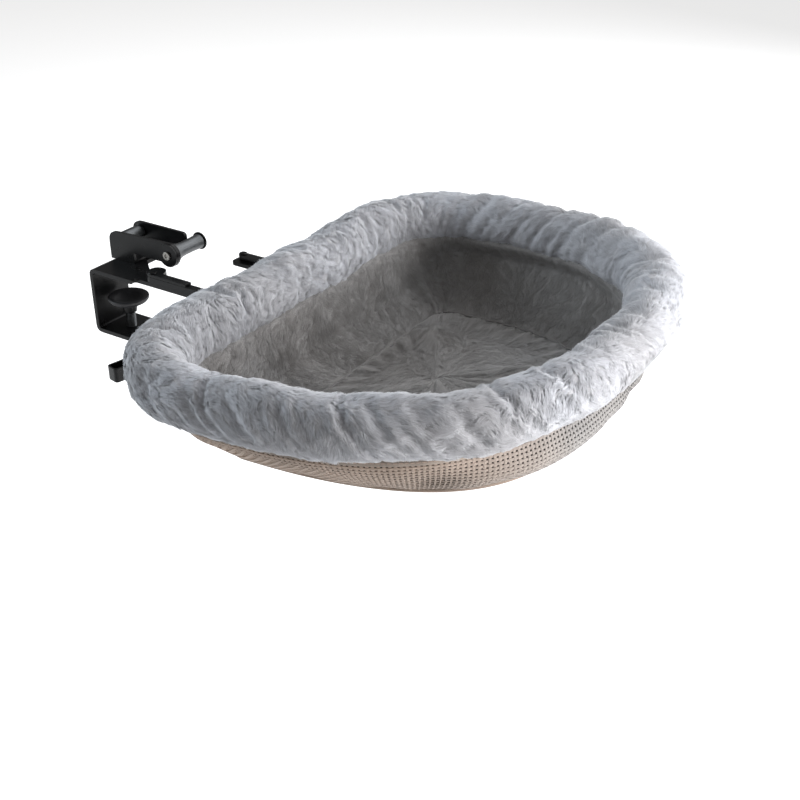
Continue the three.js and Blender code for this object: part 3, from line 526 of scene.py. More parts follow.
def pile(name, skin, wrap_v, u, v, lie, comb, material, seed, pieces=1, calm=1.0):
    """Strands of pile on a skin: each a closed three-sided spindle of six faces that lies along the skin.

    A strand of length L that starts at (u, v) has its middle over (u, v) + 0.5 L d and its tip over
    (u, v) + 0.95 L d, where d is the combing direction (cos, sin) of the angle lie in the skin's own
    directions, both moved towards the middle of their tuft and lifted along the skin's normal. calm is a
    factor that shortens and thins strands where they must stay close."""
    rng = np.random.default_rng(seed)
    many = len(u)
    normal = normals_of(skin, wrap_v)
    per_u = np.linalg.norm(np.roll(skin, -1, 0) - skin, axis=2, keepdims=True) * skin.shape[0]
    step_v = np.roll(skin, -1, 1) - skin if wrap_v else np.gradient(skin, axis=1)
    per_v = np.linalg.norm(step_v, axis=2, keepdims=True) * (skin.shape[1] - (0 if wrap_v else 1))
    scale = np.concatenate([sampled(per_u, u, v, wrap_v), sampled(per_v, u, v, wrap_v)], 1)
    scale = np.maximum(scale, 0.02)
    middle, number, count = tufts(u, v, per_u.mean(), per_v.mean(), comb.clump, rng)
    tuft_tone = rng.random(count)[number]
    turn = lie + rng.normal(0, comb.turn, count)[number] + rng.normal(0, 0.13, many)
    long = comb.strand * rng.uniform(0.7, 1.15, many) * calm
    wide = (comb.width * rng.uniform(0.7, 1.25, many) * np.sqrt(calm))[:, None]
    low = comb.rise * rng.uniform(0.6, 1.1, count)[number] * rng.uniform(0.7, 1.3, many)
    high = comb.rise * rng.uniform(0.45, 1.9, count)[number] * rng.uniform(0.5, 1.5, many)
    start = np.stack([u, v], 1)
    ahead = np.stack([np.cos(turn), np.sin(turn)], 1) * long[:, None] / scale
    inward = (middle - start) * comb.pull
    places = (
        start,
        start + 0.5 * ahead + 0.5 * inward,
        start + 0.95 * ahead + inward + rng.normal(0, 0.0006, (many, 2)) / scale,
    )
    root, mid, tip = (sampled(skin, *place.T, wrap_v) for place in places)
    root_n, mid_n, tip_n = (unit(sampled(normal, *place.T, wrap_v)) for place in places)
    mid = mid + (long * low)[:, None] * mid_n
    tip = tip + (long * high)[:, None] * tip_n
    side = unit(np.cross(mid_n, tip - root))
    corners = [-0.5 * side - 0.1 * mid_n, 0.4 * mid_n, 0.5 * side - 0.1 * mid_n]
    points = np.stack([root - ROOT_DEPTH * root_n, *(mid + wide * corner for corner in corners), tip], 1)
    soft = np.stack([root_n, *(unit(corner + 0.9 * mid_n) for corner in corners), tip_n], 1)
    corner = points[0][STRAND_FACES]
    volume = (corner[:, 0] * np.cross(corner[:, 1], corner[:, 2])).sum()
    faces = STRAND_FACES if volume > 0 else STRAND_FACES[:, ::-1]
    tone = 0.5 * tuft_tone + 0.5 * rng.random(many)
    order = np.argsort(u, kind="stable")
    made = []
    for part, chosen in enumerate(np.array_split(order, pieces)):
        size = len(chosen)
        cells = math.ceil(math.sqrt(size))
        cell = np.stack([np.arange(size) % cells, np.arange(size) // cells], 1)
        flat = (cell[:, None, None, :] + 0.9 * STRAND_MAP[faces][None]) / cells
        numbers = (np.arange(size)[:, None, None] * 5 + faces[None]).reshape(-1, 3)
        values = {"tip": np.tile(STRAND_TIPS, size), "tone": np.repeat(tone[chosen], 5)}
        label = name if pieces == 1 else f"{name}_{part + 1}"
        made.append(new_piece(label, points[chosen], numbers, material, flat, values, normals=soft[chosen]))
    return made


def ribbons(name, paths, across, width, thickness, material, wrap=False):
    """Flat yarns along paths (n, m, 3): four-sided tubes whose width lies along across (n, m, 3).

    The width is one number or one for each point, as (n, m)."""
    count, steps = paths.shape[:2]
    along = np.roll(paths, -1, 1) - np.roll(paths, 1, 1) if wrap else np.gradient(paths, axis=1)
    across = unit(across)
    up = unit(np.cross(unit(along), across))
    ring = [(-0.5, -0.5), (0.5, -0.5), (0.5, 0.5), (-0.5, 0.5)]
    width = np.broadcast_to(width, (count, steps))[..., None]
    points = np.stack([paths + a * width * across + b * thickness * up for a, b in ring], 2)
    faces, flat = loop_faces(steps, 4, wrap, True), loop_map(steps, 4, wrap, True)
    first = np.arange(count)[:, None, None] * steps * 4
    numbers = (first + faces[None]).reshape(-1, 4)
    rows = np.arange(count)[:, None]
    flat_map = np.stack(
        [np.broadcast_to(flat[None, :, 0], (count, len(flat))), (rows + 0.9 * flat[None, :, 1]) / count], -1
    ).reshape(-1, 2)
    if not wrap:
        caps = np.array([[3, 2, 1, 0], [4 * (steps - 1) + k for k in range(4)]])
        cap_map = np.tile([[0.0, 0.0], [0.004, 0.0], [0.004, 0.004], [0.0, 0.004]], (2 * count, 1))
        numbers = np.concatenate([numbers, (first + caps[None]).reshape(-1, 4)])
        flat_map = np.concatenate([flat_map, cap_map])
    return new_piece(name, points, numbers, material, flat_map, smooth=False)


CORD_SIDES = 8


def tube(name, line, radius, material):
    """A round cord along a closed line (m, 3): a ring of points about each of the line's, square to it."""
    along = unit(np.roll(line, -1, 0) - np.roll(line, 1, 0))
    up = unit(np.cross(along, np.array([0.0, 0.0, 1.0])))
    over = np.cross(along, up)
    turn = TURN * shares(CORD_SIDES)
    points = line[:, None] + radius * np.cos(turn) * up[:, None] + radius * np.sin(turn) * over[:, None]
    return grid_piece(name, points, material)


# Materials


class Nodes:
    """A short way to build one material's node tree."""

    def __init__(self, name):
        self.material = bpy.data.materials.new(name)
        self.material.use_nodes = True
        self.tree = self.material.node_tree
        self.shader = self.tree.nodes["Principled BSDF"]

    def add(self, kind, inputs=None, **settings):
        node = self.tree.nodes.new(kind)
        assign(node, **settings)
        for key, value in (inputs or {}).items():
            self.put(node.inputs[key], value)
        return node

    def put(self, socket, value):
        if isinstance(value, bpy.types.NodeSocket):
            self.tree.links.new(value, socket)
        else:
            socket.default_value = value

    def set(self, **inputs):
        for key, value in inputs.items():
            self.put(self.shader.inputs[key.replace("_", " ")], value)
        return self.material

    def place(self):
        return self.add("ShaderNodeTexCoord").outputs["Object"]

    def noise(self, scale, detail, vector=None):
        inputs = {"Vector": vector or self.place(), "Scale": scale, "Detail": detail, "Roughness": 0.55}
        return self.add("ShaderNodeTexNoise", inputs).outputs["Fac"]

    def ramp(self, factor, *stops):
        node = self.add("ShaderNodeValToRGB", {"Fac": factor})
        elements = node.color_ramp.elements
        while len(elements) < len(stops):
            elements.new(0.5)
        for element, (position, shade) in zip(elements, stops):
            element.position = position
            element.color = (*shade, 1.0) if hasattr(shade, "__len__") else (shade, shade, shade, 1.0)
        return node.outputs["Color"]

    def mix(self, kind, factor, a, b):
        node = self.add("ShaderNodeMix", data_type="RGBA", blend_type=kind)
        self.put(node.inputs["Factor"], factor)
        self.put(node.inputs["A"], a if isinstance(a, bpy.types.NodeSocket) else (*a, 1.0))
        self.put(node.inputs["B"], b if isinstance(b, bpy.types.NodeSocket) else (*b, 1.0))
        return node.outputs["Result"]

    def value(self, name):
        return self.add("ShaderNodeAttribute", attribute_name=name).outputs["Fac"]

    def maths(self, operation, a, b):
        node = self.add("ShaderNodeMath", operation=operation)
        self.put(node.inputs[0], a)
        self.put(node.inputs[1], b)
        return node.outputs["Value"]

    def bump(self, height, strength, distance):
        node = self.add("ShaderNodeBump", {"Strength": strength, "Distance": distance, "Height": height})
        self.put(self.shader.inputs["Normal"], node.outputs["Normal"])


def shade(base, factor):
    """A colour times a factor, with no channel over 1."""
    return tuple(min(1.0, channel * factor) for channel in base)


def pile_material(name, tip, root):
    """Strands that go from dark roots to pale tips, each tuft a little lighter or darker."""
    nodes = Nodes(name)
    along = nodes.ramp(nodes.value("tip"), (0.0, root), (0.45, shade(tip, 0.90)), (1.0, tip))
    tone = nodes.ramp(nodes.value("tone"), (0.0, (0.80, 0.795, 0.795)), (1.0, (1.08, 1.085, 1.09)))
    patch = nodes.ramp(nodes.noise(11.0, 2.0), (0.36, (0.86, 0.85, 0.84)), (0.66, (1.05, 1.06, 1.07)))
    tinted = nodes.mix("MULTIPLY", 1.0, nodes.mix("MULTIPLY", 1.0, along, tone), patch)
    return nodes.set(
        Base_Color=tinted, Roughness=0.9, Sheen_Weight=0.35, Sheen_Roughness=0.45, Specular_IOR_Level=0.25
    )


def skin_material(name, tip, root, back=False):
    """The knitted ground under the pile, with short fluff in it, and dark where the value back is 1."""
    nodes = Nodes(name)
    fluff = nodes.noise(900.0, 4.0)
    ground = nodes.ramp(fluff, (0.3, shade(root, 0.92)), (0.7, shade(tip, 0.90)))
    if back:
        ground = nodes.mix("MIX", nodes.value("back"), ground, shade(root, 0.09))
    nodes.bump(fluff, 0.7, 0.0012)
    return nodes.set(Base_Color=ground, Roughness=0.95, Sheen_Weight=0.3)


def yarn_material(name, base, faded=None):
    """Twisted yarn: fine ribs with lighter and darker lengths, faded towards +X if faded is given."""
    nodes = Nodes(name)
    ribs, patch = nodes.noise(1400.0, 2.0), nodes.noise(14.0, 2.0)
    if faded:
        side = nodes.add("ShaderNodeSeparateXYZ", {"Vector": nodes.place()}).outputs["X"]
        share = nodes.maths("ADD", nodes.maths("MULTIPLY", side, 2.0), 0.5)
        fade = nodes.ramp(share, (0.14, base), (0.38, faded))
        worn = nodes.mix("MULTIPLY", 1.0, fade, nodes.ramp(patch, (0.3, 0.86), (0.7, 1.12)))
    else:
        worn = nodes.ramp(patch, (0.3, shade(base, 0.86)), (0.7, shade(base, 1.12)))
    ribbed = nodes.mix("MULTIPLY", 0.6, worn, nodes.ramp(ribs, (0.3, 0.62), (0.7, 1.0)))
    nodes.bump(ribs, 0.5, 0.0003)
    return nodes.set(Base_Color=ribbed, Roughness=0.85, Sheen_Weight=0.15)


def coat_material(name, base):
    """Powder coat: a fine orange-peel, dust in broad patches and slightly uneven gloss."""
    nodes = Nodes(name)
    dust = nodes.noise(45.0, 4.0)
    nodes.bump(nodes.noise(2600.0, 2.0), 0.12, 0.00012)
    return nodes.set(
        Base_Color=nodes.ramp(dust, (0.35, base), (0.75, shade(base, 1.6))),
        Roughness=nodes.ramp(dust, (0.3, 0.26), (0.7, 0.38)),
        Specular_IOR_Level=0.18,
    )


def steel_material(name, base, grain=(40.0, 900.0, 900.0)):
    """Plated steel with a drawn grain along X and faint clouding."""
    nodes = Nodes(name)
    stretched = nodes.add("ShaderNodeMapping", {"Vector": nodes.place(), "Scale": grain}).outputs["Vector"]
    lines = nodes.noise(1.0, 2.0, vector=stretched)
    nodes.bump(lines, 0.12, 0.0001)
    return nodes.set(
        Base_Color=nodes.ramp(nodes.noise(60.0, 3.0), (0.3, shade(base, 0.8)), (0.7, shade(base, 1.15))),
        Roughness=nodes.ramp(lines, (0.3, 0.38), (0.7, 0.52)),
        Metallic=1.0,
    )


def rubber_material(name, base):
    """Moulded rubber with a fine grain and paler rubbed places."""
    nodes = Nodes(name)
    rubbed = nodes.noise(80.0, 3.0)
    nodes.bump(nodes.noise(1800.0, 3.0), 0.2, 0.0002)
    return nodes.set(
        Base_Color=nodes.ramp(rubbed, (0.4, base), (0.8, shade(base, 2.2))),
        Roughness=nodes.ramp(rubbed, (0.3, 0.5), (0.7, 0.66)),
    )


# Operators: one for each piece or group of like pieces


def report_done(operator, *pieces):
    operator.report({"INFO"}, ", ".join(piece.name for piece in pieces))
    return {"FINISHED"}


# Skins that an operator leaves for the one that combs pile over them
STORE = {}


def notch_share(x):
    """1 over a knuckle, 0 beyond its room, for places x along the hinge line."""
    return 1 - ease(*POCKET_EDGE, np.abs(np.abs(x) - KNUCKLE_X))


class BED_OT_rim(bpy.types.Operator):
    """Makes the padded roll round the hoop, with its lumps, its folds and two pockets for the knuckles"""

    bl_idname = "bed.rim"
    bl_label = "Plush rim"

    def execute(self, context):
        hoop, plush = context.scene.bed_hoop, context.scene.bed_plush
        rows, columns = 720, 72
        line, out = hoop_line(hoop, rows)
        u, v = shares(rows), shares(columns).T
        # The section is a circle about the hoop's line: the roll's radius, fuller towards the net by the
        # square of a raised cosine, plus the lumps and less the folds
        around = math.radians(ROLL_START) + TURN * v
        net_side = 0.5 + 0.5 * np.cos(around - math.radians(NET_SIDE))
        full = (plush.roll + plush.under * net_side**2) * roll_share(out)[:, None]
        folds = np.abs(ripples(u + FOLD_SLANT * np.sin(around), v * 0, (60, 0, 10), 5))
        radius = full + LUMPS * ripples(u, v, (16, 2, 14), 3) - FOLDS * folds
        # At a knuckle the columns past the whole arc go in to the pocket's wall, back along it by the whole
        # arc and out again, so the roll is cut open there and stays a closed skin
        wedge = WHOLE_ARC / 360
        t = np.clip((v - wedge) / (1 - wedge), 0, 1)
        back = math.radians(WHOLE_ARC) * ease(*POCKET_WALL, t)
        inner = math.radians(ROLL_START + WHOLE_ARC) - back
        depth = hump((0.0, POCKET_WALL[0]), (POCKET_WALL[1], 1.0), t)
        pocket = notch_share(line[:, 0])[:, None] * (line[:, 1:] > -0.001)
        deep, bearing = radius * (1 - depth) + POCKET_ROOM * depth, np.where(v > wedge, inner, around)
        a, z = (radius * f(around) * (1 - pocket) + deep * f(bearing) * pocket for f in (np.cos, np.sin))
        skin = np.stack([line[:, :1] + a * out[:, :1], line[:, 1:] + a * out[:, 1:], z], -1)
        step_u, step_v = 3, 2
        coarse = skin[::step_u, ::step_v]
        held = ((np.sin(around) < HELD_UNDER) | (pocket > 0))[::step_u, ::step_v]
        faces = loop_faces(rows // step_u, columns // step_v, True, True)
        swollen = inflated(
            coarse.reshape(-1, 3), faces, np.flatnonzero(held.ravel()), pressure=2.5, slack=0.05, cap=0.0035
        ).reshape(coarse.shape)
        uu, vv = np.broadcast_arrays(u, v)
        moved = sampled(swollen - coarse, uu.ravel(), vv.ravel(), True).reshape(skin.shape)
        grid = placed(skin + moved * (1 - pocket)[..., None], hoop)
        STORE["rim"] = grid, pocket[:, 0]
        piece = grid_piece("rim_skin", grid, skin_material("Rim ground", plush.tip, plush.root))
        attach(piece, "bed")
        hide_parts("plush_rim")
        return report_done(self, piece)


class BED_OT_rim_pile(bpy.types.Operator):
    """Combs long pile over the rim, down the outside and down the inside from a parting on top"""

    bl_idname = "bed.rim_pile"
    bl_label = "Rim pile"

    def execute(self, context):
        plush = context.scene.bed_plush
        skin, pocket = STORE["rim"]
        rng = np.random.default_rng(11)
        count, rows = plush.rim_strands, len(pocket)
        u, v = rng.random(count), rng.random(count)
        turn = math.radians(ROLL_START) + TURN * v
        # Strands are near a knuckle over its pocket, and close up to six rows of the skin beside it
        near, close = (
            np.interp(u * rows, np.arange(rows), values) > 0.01
            for values in (pocket, np.convolve(pocket, np.ones(13), "same") > 0)
        )
        wedge = v > WHOLE_ARC / 360 - 0.02
        calm = np.where(close & (wedge | (v < 0.05)), 0.45, 1.0)
        calm *= 1 - 0.6 * hump(np.radians((205, 250)), np.radians((285, 310)), turn)
        # The pile parts on top: its angle is a smoothed sign of the side of the roll, plus soft swirls
        parting = np.tanh(3.0 * np.sin(turn - math.radians(90)))
        swirl = 0.75 * ripples(u, v, (9, 1, 9), 21) + 0.35 * ripples(u, v, (30, 3, 9), 22)
        lie = parting * 0.85 + swirl
        keep = ~(near & wedge)
        u, v, lie, calm = (array[keep] for array in (u, v, lie, calm))
        material = pile_material("Rim pile", plush.tip, plush.root)
        comb = Comb(plush.pile, plush.strand, plush.clump, rise=0.085, pull=0.42)
        made = pile("rim_pile", skin, True, u, v, lie, comb, material, 31, 6, calm)
        for piece in made:
            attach(piece, "bed")
        return report_done(self, *made)


class BED_OT_lining(bpy.types.Operator):
    """Makes the padded lining of the basket, with soft pleats in its wall"""

    bl_idname = "bed.lining"
    bl_label = "Plush lining"

    def execute(self, context):
        hoop, plush = context.scene.bed_hoop, context.scene.bed_plush
        columns, steps = 360, 64
        share = np.linspace(0, 1, steps)
        line = np.pad(hoop_line(hoop, columns)[0], ((0, 0), (0, 1)))
        sides = []
        for push in (LINING_INSIDE, LINING_OUTSIDE):
            rings = basket_rings(hoop, push, columns)
            tuck = line + TUCK * (rings[0] - line)
            sides.append(np.moveaxis(curved(np.concatenate([tuck[None], rings]), share), 0, 1))
        inner, outer = sides
        out = outward(inner)
        u = shares(columns)
        # The inside moves in by pleats, ripples cut off below, and the outside by its dents and hollows
        wall_share = np.clip((share - WALL_TOP) / WALL_LENGTH, 0, 1)[None]
        wall = hump(PLEATS_RISE, PLEATS_END, share)
        pleats = np.maximum(ripples(u + 0.02 * share[None], share[None] * 0, (26, 0, 12), 41), -0.6)
        inner = inner - out * (PLEAT_DEPTH * wall * pleats)[..., None]
        sunk = dents(u, wall_share) + LINING_HOLLOW_DEPTH * hollows(u, wall_share)
        outer = outer - out * (sunk * (1 - ease(0.5, 0.6, share)))[..., None]
        STORE["lining"] = placed(inner, hoop)
        whole = placed(np.concatenate([inner[:, ::-1], outer], 1), hoop)
        back = np.tile(np.arange(2 * steps) > steps, columns)
        ground = skin_material("Lining ground", plush.inside_tip, plush.inside_root, back=True)
        piece = grid_piece("lining_skin", whole, ground, True, False, {"back": back})
        sealed(piece, end_rings(columns, 2 * steps))
        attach(piece, "bed")
        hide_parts("plush_lining")
        return report_done(self, piece)


class BED_OT_lining_pile(bpy.types.Operator):
    """Combs shorter, darker pile down the lining's wall"""

    bl_idname = "bed.lining_pile"
    bl_label = "Lining pile"

    def execute(self, context):
        plush = context.scene.bed_plush
        rng = np.random.default_rng(12)
        count = plush.lining_strands
        u, v = rng.random(count), 0.015 + 0.60 * rng.random(count)
        swirl = 0.5 * ripples(u, v, (12, 2, 9), 51) + 0.4 * ripples(u, v, (40, 6, 9), 52)
        material = pile_material("Lining pile", plush.inside_tip, plush.inside_root)
        comb = Comb(0.85 * plush.pile, plush.strand, plush.clump, rise=0.07)
        lie = math.pi / 2 + swirl
        made = pile("lining_pile", STORE["lining"], False, u, v, lie, comb, material, 32, 2)
        for piece in made:
            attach(piece, "bed")
        return report_done(self, *made)


class BED_OT_cushion(bpy.types.Operator):
    """Makes the crowned cushion on the basket's floor, with its pile and the piping round its seam"""

    bl_idname = "bed.cushion"
    bl_label = "Seat cushion"

    def execute(self, context):
        hoop, plush = context.scene.bed_hoop, context.scene.bed_plush
        columns, steps = 240, 25
        rings = basket_rings(hoop, CUSHION_PUSH, columns)
        edge, base = rings[3], rings[5][0, 2]
        middle = edge.mean(0)
        # At the share r of the way out to the puckered seam the crown stands CROWN (1 - r^2.4)^0.7 over the
        # seam, and the underside r^9 of the way from the floor up to it
        pucker = 1 + PUCKER_DEPTH * np.cos(TURN * PUCKERS * np.arange(columns) / columns)[:, None]
        reach = np.sin(np.linspace(0, 1, steps) * math.pi / 2)[:, None, None]
        seam_z = base + SEAM_HEIGHT
        outline = middle + (edge - middle) * CUSHION_REACH * pucker
        top = middle + (outline - middle)[None] * reach
        top[..., 2] = seam_z + CROWN * (1 - reach[..., 0] ** 2.4) ** 0.7
        bottom = middle + (outline - middle)[None] * reach[::-1][1:]
        bottom[..., 2] = base + (seam_z - base) * reach[::-1][1:, :, 0] ** 9
        whole = np.moveaxis(np.concatenate([top[1:], bottom[:-1]]), 0, 1)
        rows, seam_row = whole.shape[1], steps - 2
        faces = loop_faces(columns, rows, True, False)
        held = (np.arange(columns)[:, None] * rows + np.arange(seam_row, rows)[None]).ravel()
        points = inflated(whole.reshape(-1, 3), faces, held, pressure=1.5, slack=0.03, cap=0.004)
        grid = placed(points.reshape(columns, rows, 3), hoop)
        ground = skin_material("Cushion ground", plush.inside_tip, plush.inside_root)
        piece = grid_piece("cushion_skin", grid, ground, True, False)
        sealed(piece, end_rings(columns, rows))
        rng = np.random.default_rng(13)
        count = plush.pad_strands
        v = 1 - np.sqrt(rng.random(count))
        u = rng.random(count)
        lie = math.pi / 2 + 0.9 * ripples(u, v, (5, 1, 7), 61) + 0.5 * ripples(u, v, (16, 3, 7), 62)
        comb = Comb(0.8 * plush.pile, plush.strand, plush.clump)
        material = pile_material("Cushion pile", plush.inside_tip, plush.inside_root)
        upper = grid[:, : seam_row + 1][:, ::-1]
        made = pile("cushion_pile", upper, False, u, v * 0.97, lie, comb, material, 33)
        cord = yarn_material("Cushion piping", plush.inside_root)
        piping = tube("cushion_piping", grid[:, seam_row], PIPING_RADIUS, cord)
        for each in (piece, piping, *made):
            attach(each, "bed")
        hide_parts("seat_pad")
        return report_done(self, piece, piping, *made)


class BED_OT_net(bpy.types.Operator):
    """Makes the open net: upright and round yarns on the wall and a crossed panel under the floor"""

    bl_idname = "bed.net"
    bl_label = "Net basket"

    def execute(self, context):
        hoop, net = context.scene.bed_hoop, context.scene.bed_net
        columns = 300
        rings = basket_rings(hoop, NET_PUSH, columns)
        gaps = np.linalg.norm(np.diff(rings, axis=0), axis=2).mean(1)
        wall_length = gaps[:3].sum()
        rows = int(round(wall_length / net.pitch)) + 1
        wall = curved(rings, np.linspace(0, wall_length / gaps.sum(), rows))
        u, v = shares(columns), np.linspace(0, 1, rows)[None]
        grid = np.moveaxis(wall, 0, 1)
        grid = placed(grid - outward(grid) * dents(u, v)[..., None], hoop)
        # Each yarn goes over and under the others in turn, along the wall's normal
        normal = unit(np.cross(np.gradient(grid, axis=0), np.gradient(grid, axis=1)))
        over = 0.35 * net.thickness * np.where(np.add.outer(np.arange(columns), np.arange(rows)) % 2, 1, -1)
        lift = normal * over[..., None]
        yarn = yarn_material("Net yarn", net.yarn_colour, net.faded_colour)
        width = net.yarn * (1 - 0.55 * hollows(u, v))
        along = np.roll(grid, -1, 0) - np.roll(grid, 1, 0)
        upright = ribbons("net_upright_yarns", grid + lift, along, width, net.thickness, yarn)
        turned, down = (np.swapaxes(each, 0, 1) for each in (grid - lift, np.gradient(grid, axis=1)))
        around = ribbons("net_round_yarns", turned, down, width.T, net.thickness, yarn, wrap=True)
        floor = self.floor_panel(hoop, net, rings, yarn)
        cord = yarn_material("Seam cord", shade(net.yarn_colour, 0.85))
        seam_line = placed(rings[3] - np.array([0, 0, 0.0006]), hoop)
        seam = tube("net_seam_cord", seam_line, SEAM_CORD_RADIUS, cord)
        made = (upright, around, *floor, seam)
        for piece in made:
            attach(piece, "bed")
        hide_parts("net_basket")
        return report_done(self, *made)

    def floor_panel(self, hoop, net, rings, yarn):
        """Yarns along X and along Y under the floor, each ending in the seam, at the floor's own height."""
        edge, steps = rings[3], 48
        middle = edge.mean(0)
        x, y = (edge - middle)[:, :2].T
        polar, far = np.arctan2(y, x), np.hypot(x, y)
        order = np.argsort(polar)
        shrinks = np.array([0.0, 0.2, 0.5, 0.8, 1.0])
        depths = rings[[6, 6, 5, 4, 3], 0, 2]
        after = np.roll(edge, -1, 0)
        made = []
        for axis, tag in enumerate("xy"):
            other = 1 - axis
            low, high = edge[:, other].min(), edge[:, other].max()
            paths = []
            for level in np.arange(low + net.pitch, high - net.pitch / 2, net.pitch):
                crosses = (edge[:, other] - level) * (after[:, other] - level) < 0
                share = (level - edge[crosses, other]) / (after[crosses, other] - edge[crosses, other])
                hits = edge[crosses, axis] + share * (after[crosses, axis] - edge[crosses, axis])
                if len(hits) < 2:
                    continue
                path = np.full((steps, 3), level)
                path[:, axis] = np.linspace(hits.min(), hits.max(), steps)
                x, y = (path - middle)[:, :2].T
                rim = np.interp(np.arctan2(y, x), polar[order], far[order], period=TURN)
                lift = 0.25 * net.thickness * (1 if axis else -1)
                path[:, 2] = np.interp(np.hypot(x, y) / rim, shrinks, depths) + lift
                paths.append(path)
            paths = placed(np.array(paths), hoop)
            across = np.broadcast_to(np.eye(3)[other], paths.shape)
            made.append(ribbons(f"net_floor_yarns_{tag}", paths, across, net.yarn, net.thickness, yarn))
        return made


class BED_OT_hem(bpy.types.Operator):
    """Makes the tape that joins the net to the rim, and its line of stitches"""

    bl_idname = "bed.hem"
    bl_label = "Net hem"

    def execute(self, context):
        hoop, net = context.scene.bed_hoop, context.scene.bed_net
        columns, rows = 480, 7
        rings = curved(basket_rings(hoop, TAPE_PUSH, columns), np.linspace(0, 0.055, rows))
        grid = np.moveaxis(rings, 0, 1)
        out = outward(grid)
        wave = TAPE_WAVES * ripples(np.arange(columns) / columns, 0, (60, 0, 8), 81)
        grid = grid + out * wave[:, None, None]
        shell = placed(np.concatenate([grid, (grid + TAPE_THICKNESS * out)[:, ::-1]], 1), hoop)
        band = grid_piece("hem_tape", shell, yarn_material("Tape", net.tape_colour))
        u, v = np.arange(STITCHES) / STITCHES, np.full(STITCHES, 0.8)
        line = placed(sampled(grid + 0.0011 * out, u, v, False), hoop)
        ahead = unit(np.roll(line, -1, 0) - line)
        paths = line[:, None] + np.linspace(-STITCH_REACH, STITCH_REACH, 4)[None, :, None] * ahead[:, None]
        side = np.cross(ahead, np.array([0, 0, 1.0]))
        across = np.broadcast_to(np.cross(side, ahead)[:, None], paths.shape)
        cotton = yarn_material("Thread", shade(net.yarn_colour, 1.2))
        thread = ribbons("hem_stitches", paths, across, STITCH_WIDTH, STITCH_WIDTH, cotton)
        for piece in (band, thread):
            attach(piece, "bed")
        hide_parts("net_hem")
        return report_done(self, band, thread)


def rounded(node, material, width):
    """A copy of a CAD node with its points merged, its flat faces joined and its edges bevelled."""
    source = frame["nodes"][node]
    mesh = source.data.copy()
    shape = bmesh.new()
    shape.from_mesh(mesh)
    bmesh.ops.remove_doubles(shape, verts=shape.verts, dist=1e-6)
    bmesh.ops.dissolve_limit(shape, angle_limit=math.radians(0.6), verts=shape.verts, edges=shape.edges)
    shape.to_mesh(mesh)
    shape.free()
    mesh.materials.clear()
    mesh.materials.append(material)
    mesh.polygons.foreach_set("use_smooth", np.ones(len(mesh.polygons), bool))
    piece = linked(f"{node}_finished", mesh)
    assign(
        piece.modifiers.new("edges", "BEVEL"), width=width, segments=2, limit_method="ANGLE",
        angle_limit=math.radians(38), harden_normals=False, use_clamp_overlap=True,
    )
    piece.modifiers.new("normals", "WEIGHTED_NORMAL").keep_sharp = True
    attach(piece, source["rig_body"])
    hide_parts(node)
    return piece


FINISHES = {
    "black_steel": """clamp_bracket yoke_bracket yoke_rivet_1 yoke_rivet_2 bar_near_upper bar_near_top_strip
        bar_far_upper bar_far_lower crossbar bar_rivet_1 bar_rivet_2 bar_rivet_3 bar_rivet_4
        clamp_pad_socket clamp_handle spool_disc_near spool_disc_far""",
    "satin_steel": """clamp_nut yoke_rear_tube yoke_spool friction_screw_near friction_screw_far
        clamp_handle_nut hoop_stop_ring_near hoop_stop_ring_far""",
    "bright_steel": "spool_bolt spool_nut",
    "black_rubber": "grip_liner clamp_pad",
}


class BED_OT_metal(bpy.types.Operator):
    """Gives the clamp, the yoke, the bars and the small steel parts rounded edges and their finishes"""

    bl_idname = "bed.metal"
    bl_label = "Steel and rubber parts"

    def execute(self, context):
        metal = context.scene.bed_metal
        materials = {
            "black_steel": coat_material("Black powder coat", metal.black),
            "satin_steel": steel_material("Satin steel", metal.satin),
            "bright_steel": steel_material("Bright steel", metal.bright),
            "black_rubber": rubber_material("Black rubber", metal.rubber),
        }
        made = []
        for slot, nodes in FINISHES.items():
            for node in nodes.split():
                piece = rounded(node, materials[slot], metal.bevel)
                made.append(piece)
        hoop_mesh = frame["nodes"]["hoop_frame"].data
        hoop_mesh.materials.clear()
        hoop_mesh.materials.append(materials["satin_steel"])
        return report_done(self, *made)


class BED_OT_screw(bpy.types.Operator):
    """Cuts the thread of the clamp screw between its chamfered ends"""

    bl_idname = "bed.screw"
    bl_label = "Clamp screw"

    def execute(self, context):
        metal = context.scene.bed_metal
        low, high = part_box("clamp_spindle")
        radius = (high.x - low.x) / 2
        sides, per_turn, groove, chamfer = 28, 8, 0.00085, 0.0011
        steps = int((high.z - low.z) / metal.pitch * per_turn)
        z = np.linspace(low.z, high.z, steps)[:, None]
        turn = (TURN * np.arange(sides) / sides)[None, :]
        # The radius drops by a smooth-stepped triangle wave of z / pitch less the share of a turn
        thread = np.abs(2 * ((z / metal.pitch - turn / TURN) % 1) - 1)
        ends = np.minimum(z - low.z, high.z - z)
        r = radius - groove * ease(0.1, 0.9, thread) - np.maximum(chamfer - ends, 0)
        places = [SCREW[0] + r * np.cos(turn), SCREW[1] + r * np.sin(turn), np.broadcast_to(z, r.shape)]
        steel = steel_material("Screw steel", metal.satin, (900.0, 900.0, 60.0))
        piece = grid_piece("clamp_screw", np.stack(places, -1), steel, False, True)
        first = np.arange(sides)
        sealed(piece, (first, (steps - 1) * sides + first[::-1]), split=False)
        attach(piece, "screw")
        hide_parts("clamp_spindle")
        return report_done(self, piece)


LAMP_AIM = (0, -0.28, -0.02)


